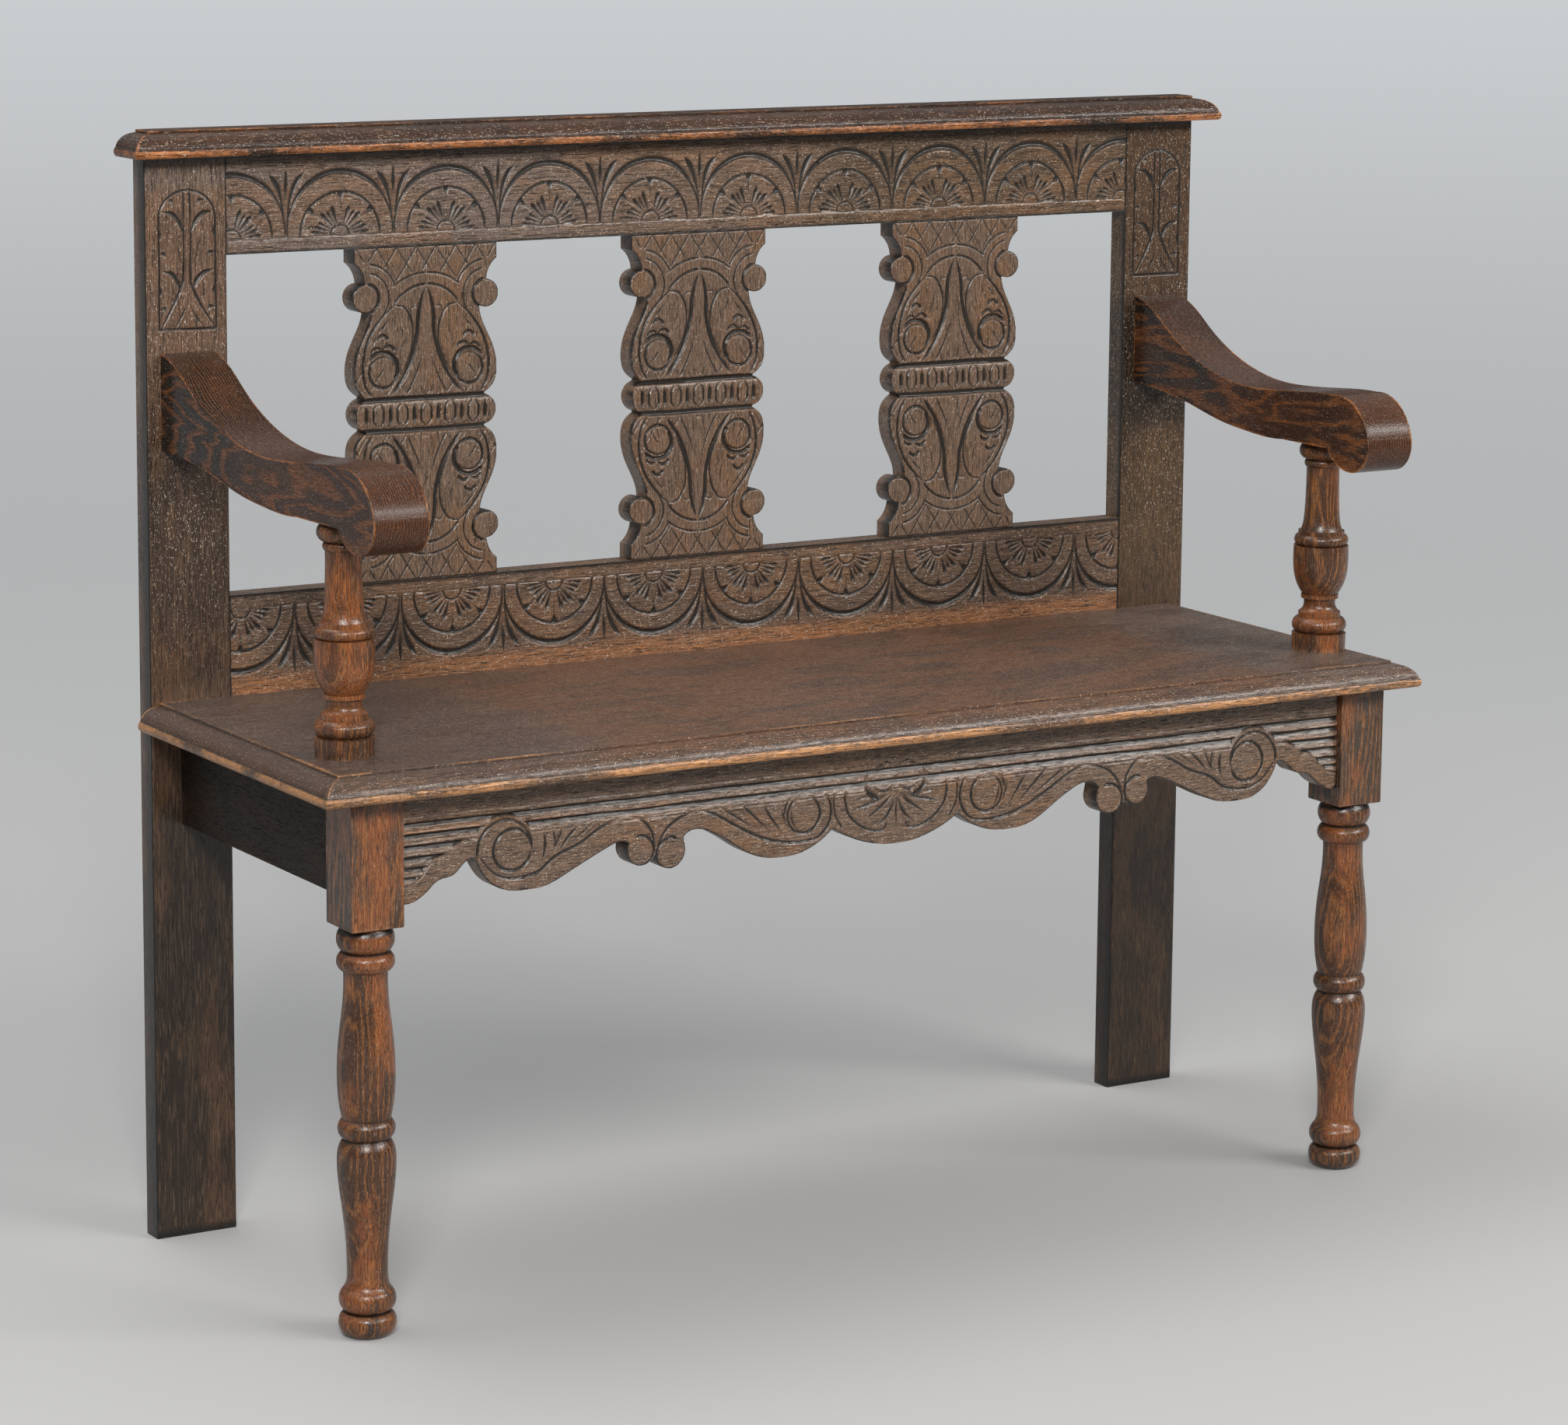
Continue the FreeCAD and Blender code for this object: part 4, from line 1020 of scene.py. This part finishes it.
# Floor, lights and camera
studio = {
    "floorSize": 80, "floorTone": (0.355, 0.35, 0.346, 1), "farGlow": (0.436, 0.456, 0.47),
    "glowReach": 6.4, "glowEdge": (-3000, 500), "skyTone": (0.97, 0.985, 1),
    "horizonTone": (0.08, 0.08, 0.082), "skyReach": 0.8, "skyStrength": 0.55,
    "lights": [
        # name, place, target, width, height, power, tone
        ("left_softbox", (-2.3, -3.5, 2.9), (0, 0, 0.6), 1, 1.3, 185, (1, 0.985, 0.96)),
        ("right_softbox", (2.4, -3.1, 2.7), (0, 0, 0.6), 2.6, 0.8, 150, (1, 0.985, 0.96)),
        ("top_softbox", (-0.9, 0.8, 3), (0, 0, 0.3), 2.4, 1.2, 45, (0.97, 0.985, 1)),
    ],
    "cameraPlace": (-2.1419, -3.5070, 1.2404),
    "cameraTurn": (-0.5454, 0.169, -0.0089),  # yaw, pitch, roll
    "focalPixels": 6284.06, "imageWidth": 2016, "imageHeight": 1832, "opticalRow": 760,
}

floorShape = bmesh.new()
bmesh.ops.create_grid(floorShape, x_segments=1, y_segments=1, size=studio["floorSize"] / 2)
floor = addShape("floor", floorShape)
floorFinish = Finish(bpy.data.materials.new("studio_floor"))
# The floor glows: painted light, brighter farther from the bench and towards the back
away = floorFinish.node("ShaderNodeVectorMath", {"operation": "LENGTH"},
                        floorFinish.place((mm, mm, mm)), output="Value")
fading = away * (-1 / studio["glowReach"])
glowShare = (1 - fading.maths("EXPONENT", fading)) * floorFinish.along("Y").step(*studio["glowEdge"])
glow = floorFinish.blend(glowShare, (0, 0, 0), studio["farGlow"])
floorFinish.feed(Base_Color=studio["floorTone"], Roughness=0.6, Specular_IOR_Level=0.2)
floorFinish.feed(Emission_Color=glow, Emission_Strength=1)
floor.data.materials.append(floorFinish.owner)

sky = Finish(bpy.data.worlds.new("studio"), "Background")
heading = sky.node("ShaderNodeTexCoord", {}, output="Generated")
rise = sky.node("ShaderNodeSeparateXYZ", {}, heading, output="Z").step(0, studio["skyReach"])
sky.feed(Color=sky.blend(rise, studio["horizonTone"], studio["skyTone"]), Strength=studio["skyStrength"])
bpy.context.scene.world = sky.owner
bpy.context.scene.view_settings.view_transform = "Standard"

for name, place, target, width, height, power, tone in studio["lights"]:
    light = bpy.data.lights.new(name, "AREA")
    light.shape, light.size, light.size_y = "RECTANGLE", width, height
    light.energy, light.color = power, tone
    lamp = addObject(name, light)
    lamp.location = place
    lamp.rotation_euler = (Vector(target) - Vector(place)).to_track_quat("-Z", "Y").to_euler()

yaw, pitch, roll = studio["cameraTurn"]
forward = Vector((-math.sin(yaw) * math.cos(pitch), math.cos(yaw) * math.cos(pitch), -math.sin(pitch)))
levelRight = Vector((math.cos(yaw), math.sin(yaw), 0))
levelDown = forward.cross(levelRight)
rightward = math.cos(roll) * levelRight + math.sin(roll) * levelDown
downward = math.cos(roll) * levelDown - math.sin(roll) * levelRight
camera = bpy.data.cameras.new("camera")
camera.lens = studio["focalPixels"] * camera.sensor_width / studio["imageWidth"]
camera.shift_y = (studio["opticalRow"] - studio["imageHeight"] / 2) / studio["imageWidth"]
camera.clip_end = 200
viewer = addObject("camera", camera)
turn = Matrix((rightward, -downward, -forward)).transposed().to_4x4()
viewer.matrix_world = Matrix.Translation(studio["cameraPlace"]) @ turn
bpy.context.scene.camera = viewer
print("Floor, lights and camera set")
